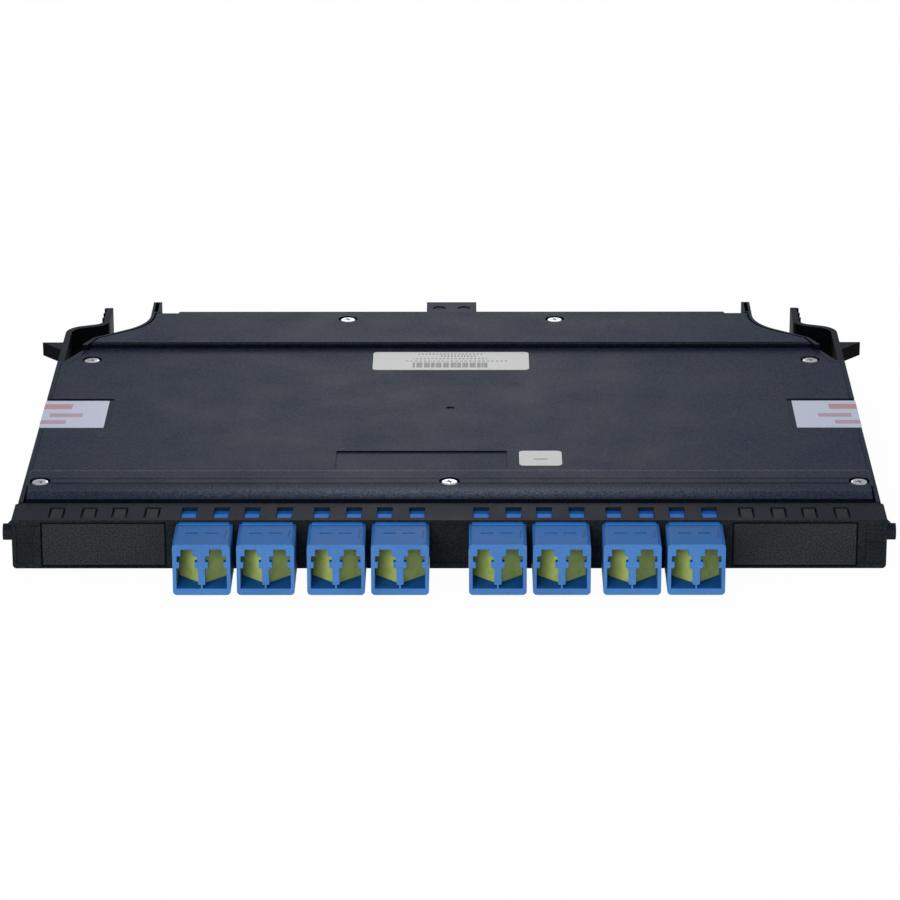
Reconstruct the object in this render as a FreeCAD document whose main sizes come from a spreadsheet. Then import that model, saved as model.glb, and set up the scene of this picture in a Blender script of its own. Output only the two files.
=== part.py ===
import FreeCAD, Part
import Sketcher
import math
import os
from types import SimpleNamespace

# Fibre cassette, in millimetres.
# +X is to the right seen from the front, +Y runs from the front to the rear, +Z is up.
# Every piece is drawn with Y measured back from the front face of the bezel and Z measured
# up from the resting face. Its Placement then moves it forward by datum_back, so that the
# origin is the middle of the flat underside.

DRIVING_SIZES = {
    # overall and frame
    "datum_back": 75.0,            # bezel face to the origin
    "fit_gap": 0.1,                # clearance between pieces that slot together
    # bezel, the thick front of the base moulding
    "bezel_width": 193.6,
    "bezel_depth": 10.8,
    "bezel_bottom": 1.1,
    "bezel_top": 12.5,
    "bezel_corner": 0.9,
    "bezel_heel": 0.8,             # bevel on the rear corners of the bezel
    "bezel_floor": 1.2,            # wall under the apertures
    "bezel_roof": 0.8,             # wall over the apertures
    "first_pair": 17.7,            # centre plane to the middle of the nearest pair
    "pair_spacing": 29.4,
    "position_pitch": 14.0,        # between the two positions of a pair
    "window_offset": 3.6,          # of each latch window from the middle of its position
    "window_width": 3.5,
    "window_front": 1.6,
    "window_back": 8.15,
    "centre_panel_width": 8.2,
    "centre_panel_sink": 0.5,
    "end_panel_inner": 92.1,       # two sunk panels at each end with a fine rib between them
    "end_panel_outer": 95.9,
    "end_panel_low": 2.2,
    "end_panel_high": 11.3,
    "end_panel_sink": 0.25,
    "end_rib_low": 6.7,
    "end_rib_high": 7.1,
    # tray behind the bezel
    "tray_width": 192.5,
    "tray_floor": 1.4,
    "side_strip": 1.05,            # thickness of the side walls beside the cover
    "edge_wall": 1.4,              # thickness of the rear and corner walls
    "rear_edge": 143.2,
    "rear_step": 1.2,
    "rear_step_at": 68.8,
    "side_end": 108.7,             # where the side wall stops and the latch arm starts
    "corner_inset": 1.85,          # the corner starts this far inside the tray's side
    "corner_mid_x": 88.4,
    "corner_mid_y": 122.2,
    "corner_late_x": 80.4,         # from here the corner curves back into the horn
    "corner_late_y": 128.8,
    "corner_radius": 14.0,
    "rim_step": 116.7,             # behind this the rim is as high as the rear land
    "horn_x": 75.5,
    "horn_root": 139.4,
    "horn_width": 2.1,
    "horn_end": 150.5,
    "horn_skin": 0.6,              # walls around the pocket in the top of a horn
    "horn_pocket_depth": 2.5,
    "spool_top": 9.6,              # round walls that slack fibre winds on
    "spool_radius": 18.0,
    "spool_wall": 1.2,
    "spool_x": 58.0,
    "spool_y": 90.0,
    # stub pins on the bezel ends
    "stub_radius": 1.85,
    "stub_length": 2.0,
    "stub_back": 2.0,
    "stub_up": 9.1,
    "gusset_start": 3.4,
    "gusset_length": 10.6,
    "gusset_height": 2.6,
    "gusset_reach": 1.3,           # beyond the end of the bezel
    # cover
    "cover_side_gap": 0.1,
    "cover_thickness": 1.5,
    "field_top": 12.7,
    "land_top": 14.2,
    "front_land_end": 28.2,
    "rear_land_start": 118.2,
    "land_rim": 0.7,
    "rim_width": 0.9,              # from the outer edge of the tray to the cover
    "cover_corner_x": 92.7,
    "cover_corner_y": 107.2,
    "cover_mid_x": 87.6,
    "cover_mid_y": 122.0,
    "corner_ledge": 7.0,
    "land_front": 11.9,            # leaves a groove between the bezel and the front land
    "land_front_top": 13.05,       # the front land slopes down to this height
    "land_slope_bend": 14.6,
    "land_bend_top": 13.85,
    "land_slope_end": 19.0,
    "land_edge_round": 0.45,
    "tongue_top": 12.1,            # lip of the cover that closes the groove below
    "corner_slot_width": 0.5,      # slot beside each front corner of the land
    "corner_slot_end": 18.0,
    "recess_left": 26.1,
    "recess_right": 13.1,
    "recess_front": 32.5,
    "recess_back": 44.3,
    "recess_depth": 0.35,
    "gate_mark_radius": 1.0,
    "gate_mark_back": 74.0,
    "gate_mark_depth": 0.25,
    # screws
    "screw_head_radius": 1.9,
    "screw_head_height": 0.55,
    "screw_shank_radius": 1.2,
    "screw_length": 8.0,
    "screw_well_radius": 2.38,
    "screw_well_depth": 0.7,
    "screw_play": 0.06,
    "boss_radius": 2.0,
    "front_screw_x": 92.2,
    "front_screw_y": 20.3,
    "middle_screw_x": 87.9,
    "middle_screw_y": 109.6,
    "rear_screw_x": 25.9,
    "rear_screw_y": 136.7,
    "driver_slot": 0.5,
    "driver_reach": 1.25,
    "driver_depth": 0.35,
    # paper labels
    "label_thickness": 0.12,
    "seal_inner_x": 81.2,
    "seal_front": 60.6,
    "seal_back": 79.5,
    "seal_drop": 9.0,
    "seal_pocket_margin": 1.1,
    "seal_pocket_depth": 0.25,
    "part_label_width": 38.1,
    "part_label_front": 101.6,
    "part_label_back": 115.0,
    "square_label_side": 9.8,
    "square_label_x": 20.8,
    "square_label_y": 39.1,
    "label_corner": 1.2,
    # duplex adapters
    "adapter_width": 12.65,
    "adapter_height": 11.87,
    "adapter_reach": 13.1,         # in front of the bezel
    "adapter_tail": 14.2,          # behind the bezel's face
    "adapter_round": 0.9,
    "neck_width": 12.5,
    "port_offset": 3.15,           # of each port from the middle of the adapter
    "port_width": 4.73,
    "port_floor": 1.5,
    "port_main_top": 6.3,
    "port_waist_top": 7.75,
    "port_shoulder_top": 9.1,
    "port_roof": 10.65,
    "port_waist_width": 3.4,
    "port_shoulder_width": 4.5,
    "port_slot_width": 2.7,
    "front_frame": 1.4,            # depth of the shaped front rim of a port
    "web_width": 0.4,              # thin foot of the divider between the ports
    "web_height": 0.9,
    "port_axis": 3.95,             # height of the ferrule axis
    "mid_wall": 2.4,
    "sleeve_holder_radius": 1.5,
    "sleeve_holder_half": 3.2,
    "sleeve_bore_radius": 0.65,    # the ceramic sleeve is one with its holder
    "adapter_tab_width": 3.2,
    "adapter_tab_back": 4.5,
    "adapter_tab_rise": 0.65,
    # shutters inside the front ports
    "shutter_thickness": 0.45,
    "shutter_hinge_deep": 3.55,    # hinge axis behind the adapter's front face
    "shutter_hinge_in": 0.3,       # hinge axis inside the side of the divider
    "shutter_recess": 0.62,        # hollow in the divider that the open shutter folds into
    "shutter_pin_radius": 0.2,
    "shutter_pin_length": 0.5,
    "shutter_pin_gap": 0.05,
    "shutter_end_gap": 0.22,
    "shutter_slant": 44.0,         # degrees back from the front plane
    # blank plates
    "blank_width": 27.05,
    "blank_bottom": 1.85,
    "blank_top": 11.6,
    "blank_plate": 1.1,
    "blank_reveal": 0.38,
    "blank_box_width": 26.2,
    "blank_box_wall": 1.0,
    "blank_box_depth": 8.6,
    "blank_tab_width": 2.5,
    # rear multi-fibre adapter
    "rear_adapter_width": 12.6,
    "rear_adapter_bottom": 2.4,
    "rear_adapter_top": 11.9,
    "rear_adapter_front": 122.0,
    "rear_adapter_end": 157.4,
    "rear_flange_width": 17.6,
    "rear_flange_thickness": 1.6,
    "rear_port_width": 10.2,
    "rear_port_height": 7.0,
    "rear_port_depth": 15.5,
    "rear_key_width": 2.6,
    "rear_key_height": 0.6,
    "ferrule_width": 6.4,
    "ferrule_height": 2.5,
    "rear_mark_radius": 1.65,
    "rear_mark_offset": 3.1,
    "rear_mark_back": 152.5,
    "rear_mark_depth": 0.25,
    # side latches
    "arm_thickness": 1.5,
    "arm_root_gap": 0.3,
    "arm_bottom": 0.6,
    "arm_top": 12.5,
    "arm_bend_start": 131.0,
    "arm_bend_x": 92.2,
    "arm_bend_y": 136.6,
    "arm_bend_radius": 5.6,
    "arm_knee_x": 89.6,
    "arm_knee_y": 137.6,
    "arm_knee_radius": 3.2,
    "tab_x": 87.4,
    "tab_start": 140.6,
    "tab_end": 151.0,
    "tab_rib_radius": 0.7,
    "tab_rib_spacing": 3.8,
    "tooth_tip": 101.75,
    "tooth_front": 121.6,
    "tooth_back": 128.0,
    "tooth_bottom": 7.6,
    "tooth_top": 11.0,
    # fibre harness
    "plug_side": 4.5,
    "plug_length": 11.0,
    "ferrule_radius": 0.62,
    "boot_length": 12.0,
    "boot_front_radius": 1.7,
    "boot_back_radius": 1.1,
    "fan_width": 17.0,
    "fan_height": 8.0,
    "fan_front": 92.0,
    "fan_back": 107.0,
    "fibre_side": 0.9,
    "fibre_spacing": 0.95,
    "fibre_stagger": 1.2,
    "fibre_bend_radius": 12.0,
    "fibre_lead": 0.5,             # straight run out of the fan-out block
    "ribbon_width": 6.0,
    "ribbon_height": 2.0,
    "inner_plug_width": 9.8,
    "inner_plug_height": 6.6,
    "inner_plug_front": 112.0,
}

SHEET_NAME = "Sizes"
DIAGONAL = 45              # degrees, the way the fibres cross the tray
BORE_SIDES = 6             # flats of the small bores that stay out of sight
BOSS_SIDES = 12
RING_SIDES = 20            # flats that stand for a small circle in plain view
MARK_SIDES = 16
RIB_SIDES = 10
ADAPTER_PAIRS = 2          # pairs of adapters on each side of the centre
PAIRS_A_SIDE = 3           # pairs of positions on each side of the centre
POSITION_SIDES = (-1, 1)


class Size:
    """A length with its number and the sheet expression that gives it."""

    def __init__(self, number, text):
        self.number = number
        self.text = text

    def __add__(self, other):
        other = as_size(other)
        return Size(self.number + other.number, f"({self.text} + {other.text})")

    def __radd__(self, other):
        return as_size(other) + self

    def __sub__(self, other):
        other = as_size(other)
        return Size(self.number - other.number, f"({self.text} - {other.text})")

    def __rsub__(self, other):
        return as_size(other) - self

    def __mul__(self, other):
        other = as_size(other)
        return Size(self.number * other.number, f"({self.text} * {other.text})")

    def __rmul__(self, other):
        return as_size(other) * self

    def __truediv__(self, other):
        other = as_size(other)
        return Size(self.number / other.number, f"({self.text} / {other.text})")

    def __neg__(self):
        return Size(-self.number, f"(0 - {self.text})")


def as_size(value):
    if isinstance(value, Size):
        return value
    return Size(float(value), repr(float(value)))


def sine(angle):
    return Size(math.sin(math.radians(angle.number)), f"sin({angle.text})")


def cosine(angle):
    return Size(math.cos(math.radians(angle.number)), f"cos({angle.text})")


doc = FreeCAD.newDocument("fibre_cassette")


def make_sheet():
    """Write every driving size into the sheet and hand them back as Size values."""
    sheet = doc.addObject("Spreadsheet::Sheet", SHEET_NAME)
    sizes = {}
    for row, (alias, value) in enumerate(DRIVING_SIZES.items(), start=1):
        sheet.set(f"A{row}", alias)
        sheet.set(f"B{row}", str(value))
        sheet.setAlias(f"B{row}", alias)
        sizes[alias] = Size(value, f"{SHEET_NAME}.{alias}")
    doc.recompute()
    return SimpleNamespace(**sizes)


s = make_sheet()

# ---------------------------------------------------------------------------
# Sizes that follow from the driving ones

half_bezel = s.bezel_width / 2
half_tray = s.tray_width / 2
half_cover = half_tray - s.side_strip - s.cover_side_gap
aperture_bottom = s.bezel_bottom + s.bezel_floor
aperture_top = s.bezel_top - s.bezel_roof
cover_seat = s.field_top - s.cover_thickness
neck_top = aperture_top - s.fit_gap
pilot_radius = s.screw_shank_radius + s.screw_play
pilot_corner = pilot_radius / cosine(as_size(180 / BORE_SIDES))
sleeve_bore_corner = s.sleeve_bore_radius / cosine(as_size(180 / BORE_SIDES))
seal_pocket_floor = s.field_top - s.seal_pocket_depth
seal_pocket_front = s.seal_front - s.seal_pocket_margin / 2
seal_pocket_back = s.seal_back + s.seal_pocket_margin
seal_pocket_inner = s.seal_inner_x - s.seal_pocket_margin
corner_start_x = half_tray - s.corner_inset
horn_inner_x = s.horn_x - s.horn_width
step_back = s.rear_edge - s.rear_step
rear_adapter_middle = (s.rear_adapter_bottom + s.rear_adapter_top) / 2

SCREW_PLACES = [
    (-s.front_screw_x, s.front_screw_y, s.land_top),
    (as_size(0), s.front_screw_y, s.land_top),
    (s.front_screw_x, s.front_screw_y, s.land_top),
    (-s.middle_screw_x, s.middle_screw_y, s.field_top),
    (s.middle_screw_x, s.middle_screw_y, s.field_top),
    (-s.rear_screw_x, s.rear_screw_y, s.land_top),
    (s.rear_screw_x, s.rear_screw_y, s.land_top),
]


def position_x(pair, side):
    """Middle of one bezel position: pairs count outwards, -3 to -1 and 1 to 3."""
    outward = s.first_pair + (abs(pair) - 1) * s.pair_spacing
    middle = outward if pair > 0 else -outward
    return middle + side * s.position_pitch / 2


adapter_pairs = [pair for pair in range(-ADAPTER_PAIRS, ADAPTER_PAIRS + 1) if pair]
blank_pairs = [-PAIRS_A_SIDE, PAIRS_A_SIDE]
adapter_places = [position_x(pair, side) for pair in adapter_pairs for side in POSITION_SIDES]

# ---------------------------------------------------------------------------
# Drawing helpers


def bind(feature, name, size):
    """Tie one property of a feature to the sheet."""
    feature.setExpression(name, as_size(size).text)


def place(piece, x=0.0):
    """Carry a piece from its drawing place into the frame of the part."""
    bind(piece, "Placement.Base.x", x)
    bind(piece, "Placement.Base.y", -s.datum_back)


def new_body(label, x=0.0):
    body = doc.addObject("PartDesign::Body", label)
    body.Label = label
    place(body, x)
    return body


def new_sketch(body, role, level):
    """A sketch on one of the body's own origin planes, lifted along the plane's normal."""
    sketch = body.newObject("Sketcher::SketchObject", "Outline")
    plane = next(f for f in body.Origin.OriginFeatures if f.Role == role)
    sketch.AttachmentSupport = [(plane, "")]
    sketch.MapMode = "FlatFace"
    bind(sketch, "AttachmentOffset.Base.z", level)
    return sketch


def level_sketch(body, height):
    """Sketch seen from above, at a height."""
    return new_sketch(body, "XY_Plane", height)


def front_sketch(body, back):
    """Sketch seen from the front, at a distance behind the bezel's face."""
    return new_sketch(body, "XZ_Plane", -as_size(back))


def side_sketch(body, x):
    """Sketch seen from the side: its first axis is Y and its second is Z."""
    return new_sketch(body, "YZ_Plane", x)


def distance(kind, first, second, size):
    """A distance that is never negative, with the expression that it follows."""
    size = as_size(size)
    start, end = first, second
    if size.number < 0:
        start, end = second, first
        size = -size
    return Sketcher.Constraint(kind, *start, *end, size.number), size.text


def fixed_point(point, x, y):
    """Hold a point of the sketch by its distances from the origin."""
    return [distance("DistanceX", (-1, 1), point, x), distance("DistanceY", (-1, 1), point, y)]


def constrain(sketch, bonds):
    """Add constraints all at once, and tie each one that has an expression to the sheet."""
    first = sketch.ConstraintCount
    sketch.addConstraint([bond for bond, text in bonds])
    for index, (bond, text) in enumerate(bonds, start=first):
        if text:
            sketch.setExpression(f"Constraints[{index}]", text)


def arc_between(start, end, radius, leftwards):
    """Arc from start to end with its centre to the left or right of that direction."""
    middle = (start + end) / 2
    chord = end - start
    reach = math.sqrt(radius * radius - chord.Length * chord.Length / 4)
    aside = FreeCAD.Vector(-chord.y, chord.x, 0).normalize() * reach
    centre = middle + aside if leftwards else middle - aside
    begin = math.atan2(start.y - centre.y, start.x - centre.x)
    finish = math.atan2(end.y - centre.y, end.x - centre.x)
    circle = Part.Circle(centre, FreeCAD.Vector(0, 0, 1), radius)
    if leftwards:
        return Part.ArcOfCircle(circle, begin, finish)
    return Part.ArcOfCircle(circle, finish, begin)


def closed_outline(sketch, corners):
    """Close a loop through corners (x, y) or (x, y, radius), where the radius bends the
    stretch that arrives there: positive with the centre on the left, negative on the right."""
    corners = [tuple(as_size(value) for value in corner) for corner in corners]
    spots = [FreeCAD.Vector(corner[0].number, corner[1].number, 0) for corner in corners]
    base = sketch.GeometryCount
    count = len(corners)
    curves = []
    ends = []
    bonds = []
    for index, corner in enumerate(corners):
        start = spots[index - 1]
        end = spots[index]
        if len(corner) == 3:
            radius = corner[2] if corner[2].number > 0 else -corner[2]
            leftwards = corner[2].number > 0
            curves.append(arc_between(start, end, radius.number, leftwards))
            ends.append((1, 2) if leftwards else (2, 1))
            bonds.append((Sketcher.Constraint("Radius", base + index, radius.number), radius.text))
        else:
            curves.append(Part.LineSegment(start, end))
            ends.append((1, 2))
        bonds += fixed_point((base + index, ends[index][1]), corner[0], corner[1])
    sketch.addGeometry(curves, False)
    for index in range(count):
        following = (index + 1) % count
        here = (base + index, ends[index][1])
        there = (base + following, ends[following][0])
        bonds.append((Sketcher.Constraint("Coincident", *here, *there), None))
    constrain(sketch, bonds)


def rectangle(sketch, low_x, high_x, low_y, high_y):
    closed_outline(sketch, [(low_x, low_y), (high_x, low_y), (high_x, high_y), (low_x, high_y)])


def disc(sketch, x, y, radius):
    """A full circle fixed by its centre and radius."""
    x, y, radius = as_size(x), as_size(y), as_size(radius)
    centre = FreeCAD.Vector(x.number, y.number, 0)
    circle = Part.Circle(centre, FreeCAD.Vector(0, 0, 1), radius.number)
    index = sketch.addGeometry(circle, False)
    width = (Sketcher.Constraint("Radius", index, radius.number), radius.text)
    constrain(sketch, fixed_point((index, 3), x, y) + [width])


def many_sided(sketch, x, y, radius, sides):
    """A regular polygon inside a circle, for small round parts."""
    corners = []
    for index in range(sides):
        turn = as_size(360 * (index + 0.5) / sides)
        corners.append((x + radius * cosine(turn), y + radius * sine(turn)))
    closed_outline(sketch, corners)


def pad(body, sketch, length, backwards=False):
    feature = body.newObject("PartDesign::Pad", "Pad")
    feature.Profile = sketch
    feature.Reversed = backwards
    feature.Refine = False
    bind(feature, "Length", length)
    return feature


def pocket(body, sketch, length, backwards=False):
    feature = body.newObject("PartDesign::Pocket", "Pocket")
    feature.Profile = sketch
    feature.Reversed = backwards
    feature.Refine = False
    bind(feature, "Length", length)
    return feature


def raise_from(body, sketch, length):
    """Pad a level sketch upwards."""
    return pad(body, sketch, length)


def push_back(body, sketch, length):
    """Pad a front sketch towards the rear."""
    return pad(body, sketch, length, backwards=True)


def sink(body, sketch, depth):
    """Pocket a level sketch downwards."""
    return pocket(body, sketch, depth)


def bore_back(body, sketch, depth):
    """Pocket a front sketch towards the rear."""
    return pocket(body, sketch, depth)


def hollow_up(body, sketch, depth):
    """Pocket a level sketch upwards."""
    return pocket(body, sketch, depth, backwards=True)


def round_edges(body, radius, wanted, kind="PartDesign::Fillet"):
    """Fillet or chamfer the edges of the body's tip that the test picks out."""
    doc.recompute()
    tip = body.Tip
    names = [f"Edge{number}" for number, edge in enumerate(tip.Shape.Edges, start=1) if wanted(edge)]
    feature = body.newObject(kind, "Rounding")
    feature.Base = (tip, names)
    bind(feature, "Radius" if kind.endswith("Fillet") else "Size", radius)
    return feature


def repeat_row(body, feature, length, copies):
    """Repeat a feature along X; the length runs from the first copy to the last."""
    row = body.newObject("PartDesign::LinearPattern", "Row")
    row.Originals = [feature]
    axis = next(f for f in body.Origin.OriginFeatures if f.Role == "X_Axis")
    row.Direction = (axis, [""])
    bind(row, "Length", length)
    row.Occurrences = copies
    row.Refine = False
    body.Tip = row
    return row


def clone_body(label, master, x):
    """A body that starts as a copy of another one and has its own place."""
    body = doc.addObject("PartDesign::Body", label)
    body.Label = label
    copy = doc.addObject("PartDesign::FeatureBase", "Clone")
    copy.BaseFeature = master
    body.Group = [copy]
    body.Tip = copy
    place(body, x)
    return body


def is_near(first, second):
    return abs(first - second) < 1e-4


def runs_along(edge, axis):
    """True for a straight edge parallel to the axis, given as 'x', 'y' or 'z'."""
    if len(edge.Vertexes) != 2:
        return False
    if not isinstance(edge.Curve, (Part.Line, Part.LineSegment)):
        return False
    step = edge.Vertexes[1].Point - edge.Vertexes[0].Point
    sideways = [abs(getattr(step, other)) for other in "xyz" if other != axis]
    return max(sideways) < 1e-6


# ---------------------------------------------------------------------------
# Base moulding


def mirrored_outline(right_side, front):
    """Corners of a loop that is the same left and right: right_side runs from front to rear."""
    left_side = []
    for index in range(len(right_side) - 1, -1, -1):
        x, y = right_side[index][0], right_side[index][1]
        arrives = right_side[index + 1] if index + 1 < len(right_side) else ()
        bend = (arrives[2],) if len(arrives) == 3 else ()
        left_side.append((-as_size(x), y) + bend)
    half_width = right_side[0][0]
    return [(-half_width, front), (half_width, front)] + right_side[1:] + left_side[:-1]


def plan_outline(half_width):
    """The cassette seen from above, from the bezel back to the horns."""
    right_side = [
        (half_width, s.bezel_depth),
        (half_width, s.side_end),
        (corner_start_x, s.side_end),
    ]
    return mirrored_outline(right_side + rear_run(), s.bezel_depth)


def corner_run(inset, mid_x, mid_y):
    """The corner and the curve up to the root of the horn, drawn inside its outer edge."""
    return [
        (mid_x, mid_y),
        (s.corner_late_x - inset * 0.65, s.corner_late_y - inset * 0.75),
        (s.horn_x - inset, s.horn_root, -(s.corner_radius + inset)),
    ]


def rear_run():
    """Outer edge of the tray from the corner round the horn to the rear edge."""
    return corner_run(as_size(0), s.corner_mid_x, s.corner_mid_y) + [
        (s.horn_x, s.horn_end),
        (horn_inner_x, s.horn_end),
        (horn_inner_x, step_back),
        (s.rear_step_at, step_back),
        (s.rear_step_at, s.rear_edge),
    ]


def cover_outline(grow):
    """The cover seen from above, or the bed for it in the tray when it is grown."""
    short = s.cover_side_gap - grow
    front_x = half_cover + grow
    right_side = [
        (front_x, s.bezel_depth),
        (front_x, s.cover_corner_y + grow),
        (s.cover_corner_x + grow, s.cover_corner_y + grow),
    ]
    right_side += corner_run(s.rim_width - grow, s.cover_mid_x + grow, s.cover_mid_y)
    right_side += [
        (s.horn_x - s.rim_width + grow, step_back - short),
        (s.rear_step_at, step_back - short),
        (s.rear_step_at, s.rear_edge - short),
    ]
    return mirrored_outline(right_side, s.bezel_depth)


def inner_outline(front, half_width, side_end, mid_x, mid_y, wall_count=1):
    """The hollow inside the tray or under a land of the cover."""
    right_side = [(half_width, front), (half_width, side_end)]
    right_side += corner_run(s.edge_wall * wall_count, mid_x, mid_y)
    right_side.append((s.horn_x - s.edge_wall * wall_count, step_back - s.edge_wall))
    return mirrored_outline(right_side, front)


def draw_bezel(body):
    sketch = front_sketch(body, 0)
    inner = half_bezel - s.bezel_corner
    low = s.bezel_bottom + s.bezel_corner
    closed_outline(sketch, [
        (-inner, s.bezel_bottom, s.bezel_corner),
        (inner, s.bezel_bottom),
        (half_bezel, low, s.bezel_corner),
        (half_bezel, s.bezel_top),
        (-half_bezel, s.bezel_top),
        (-half_bezel, low),
    ])
    push_back(body, sketch, s.bezel_depth)

    def on_heel(edge):
        return runs_along(edge, "z") and is_near(edge.BoundBox.YMax, s.bezel_depth.number)

    round_edges(body, s.bezel_heel, on_heel, kind="PartDesign::Chamfer")


def draw_tray(body):
    sketch = level_sketch(body, 0)
    closed_outline(sketch, plan_outline(half_tray))
    raise_from(body, sketch, s.field_top)
    share = (s.rim_step - s.side_end) / (s.corner_mid_y - s.side_end)
    rim_x = corner_start_x - (corner_start_x - s.corner_mid_x) * share
    high_rim = level_sketch(body, s.field_top)
    closed_outline(high_rim, mirrored_outline([(rim_x, s.rim_step)] + rear_run(), s.rim_step))
    raise_from(body, high_rim, s.land_top - s.field_top)
    bed = level_sketch(body, cover_seat)
    closed_outline(bed, cover_outline(s.cover_side_gap))
    hollow_up(body, bed, s.land_top - cover_seat)
    sketch = level_sketch(body, s.tray_floor)
    inner_side = half_cover - s.land_rim
    inner_mid_x = s.corner_mid_x - s.edge_wall
    inner_mid_y = s.corner_mid_y - s.edge_wall / 2
    side_end = s.cover_corner_y - s.corner_ledge
    closed_outline(sketch, inner_outline(s.bezel_depth, inner_side, side_end, inner_mid_x, inner_mid_y))
    hollow_up(body, sketch, cover_seat)
    horns = level_sketch(body, s.land_top)
    for side in POSITION_SIDES:
        ends = [side * (horn_inner_x + s.horn_skin), side * (s.horn_x - s.horn_skin)]
        low, high = ends if side > 0 else ends[::-1]
        rectangle(horns, low, high, step_back + s.horn_skin, s.horn_end - s.horn_skin)
    sink(body, horns, s.horn_pocket_depth)


def cut_apertures(body):
    """Slots for the adapters, open below, and stepped openings for the blank plates."""
    half_slot = s.neck_width / 2 + s.fit_gap
    for first_pair in (adapter_pairs[0], adapter_pairs[ADAPTER_PAIRS]):
        slots = front_sketch(body, 0)
        for side in POSITION_SIDES:
            middle = position_x(first_pair, side)
            rectangle(slots, middle - half_slot, middle + half_slot, -s.tray_floor, aperture_top)
        slot = bore_back(body, slots, s.adapter_tail + s.fit_gap)
        repeat_row(body, slot, s.pair_spacing * (ADAPTER_PAIRS - 1), ADAPTER_PAIRS)
    tunnels = front_sketch(body, 0)
    seats = front_sketch(body, 0)
    half_tunnel = s.blank_box_width / 2 + s.fit_gap
    half_seat = s.blank_width / 2 + s.blank_reveal
    for pair in blank_pairs:
        middle = (position_x(pair, -1) + position_x(pair, 1)) / 2
        rectangle(tunnels, middle - half_tunnel, middle + half_tunnel, aperture_bottom, aperture_top)
        low = s.blank_bottom - s.blank_reveal
        high = s.blank_top + s.blank_reveal
        rectangle(seats, middle - half_seat, middle + half_seat, low, high)
    bore_back(body, tunnels, s.bezel_depth)
    bore_back(body, seats, s.blank_plate + s.fit_gap)


def cut_windows(body):
    """Openings in the bezel's roof that the latch tabs of adapters and blanks snap into."""
    half = s.window_width / 2
    for first_pair in (-PAIRS_A_SIDE, 1):
        sketch = level_sketch(body, s.bezel_top)
        for side in POSITION_SIDES:
            for window_side in POSITION_SIDES:
                middle = position_x(first_pair, side) + window_side * s.window_offset
                rectangle(sketch, middle - half, middle + half, s.window_front, s.window_back)
        windows = sink(body, sketch, s.bezel_roof)
        repeat_row(body, windows, s.pair_spacing * (PAIRS_A_SIDE - 1), PAIRS_A_SIDE)


def cut_face_details(body):
    panel = front_sketch(body, 0)
    half = s.centre_panel_width / 2
    rectangle(panel, -half, half, s.bezel_bottom + s.bezel_floor, s.bezel_top - s.bezel_roof)
    bore_back(body, panel, s.centre_panel_sink)
    end_panels = front_sketch(body, 0)
    heights = ((s.end_panel_low, s.end_rib_low), (s.end_rib_high, s.end_panel_high))
    for low, high in heights:
        rectangle(end_panels, s.end_panel_inner, s.end_panel_outer, low, high)
        rectangle(end_panels, -s.end_panel_outer, -s.end_panel_inner, low, high)
    bore_back(body, end_panels, s.end_panel_sink)


def add_stub_pins(body):
    """A round pin on each end of the bezel with a tapering gusset behind it."""
    root = half_bezel - s.edge_wall
    reach = s.stub_length + s.edge_wall
    for side in POSITION_SIDES:
        pin = side_sketch(body, side * root)
        disc(pin, s.stub_back, s.stub_up, s.stub_radius)
        pad(body, pin, reach, backwards=side < 0)
    gussets = level_sketch(body, s.stub_up - s.gusset_height / 2)
    tip = half_bezel + s.gusset_reach
    wall = half_tray - s.side_strip
    for side in POSITION_SIDES:
        closed_outline(gussets, [
            (side * wall, s.gusset_start),
            (side * tip, s.gusset_start),
            (side * wall, s.gusset_start + s.gusset_length),
        ])
    raise_from(body, gussets, s.gusset_height)


def add_bosses(body):
    """Posts from the floor to the underside of the cover, bored for the screws."""
    for top in (s.land_top, s.field_top):
        posts = level_sketch(body, s.tray_floor)
        bores = level_sketch(body, s.tray_floor)
        for x, y, seat in SCREW_PLACES:
            if seat is top:
                many_sided(posts, x, y, s.boss_radius, BOSS_SIDES)
                many_sided(bores, x, y, pilot_corner, BORE_SIDES)
        raise_from(body, posts, top - s.cover_thickness - s.tray_floor)
        hollow_up(body, bores, top)


def add_spools(body):
    for radius, raised in ((s.spool_radius, True), (s.spool_radius - s.spool_wall, False)):
        sketch = level_sketch(body, s.tray_floor)
        for side in POSITION_SIDES:
            many_sided(sketch, side * s.spool_x, s.spool_y, radius, RING_SIDES)
        if raised:
            raise_from(body, sketch, s.spool_top - s.tray_floor)
        else:
            hollow_up(body, sketch, s.spool_top)


def cut_rear_opening(body):
    """Gap in the rear wall that the multi-fibre adapter passes through."""
    sketch = front_sketch(body, s.rear_edge - s.edge_wall * 2)
    half = s.rear_adapter_width / 2 + s.fit_gap
    rectangle(sketch, -half, half, s.rear_adapter_bottom - s.fit_gap, s.land_top)
    bore_back(body, sketch, s.edge_wall * 3)


def cut_seal_pockets(body, outer):
    """Shallow steps in the sides where the paper seals lie."""
    sketch = level_sketch(body, s.field_top)
    for side in POSITION_SIDES:
        ends = [side * seal_pocket_inner, side * outer]
        low, high = ends if side > 0 else ends[::-1]
        rectangle(sketch, low, high, seal_pocket_front, seal_pocket_back)
    sink(body, sketch, s.seal_pocket_depth)


def make_base():
    body = new_body("base_housing")
    draw_bezel(body)
    draw_tray(body)
    add_bosses(body)
    add_spools(body)
    cut_apertures(body)
    cut_windows(body)
    cut_face_details(body)
    add_stub_pins(body)
    cut_rear_opening(body)
    cut_seal_pockets(body, half_bezel)
    return body


# ---------------------------------------------------------------------------
# Cover and its screws


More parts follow.
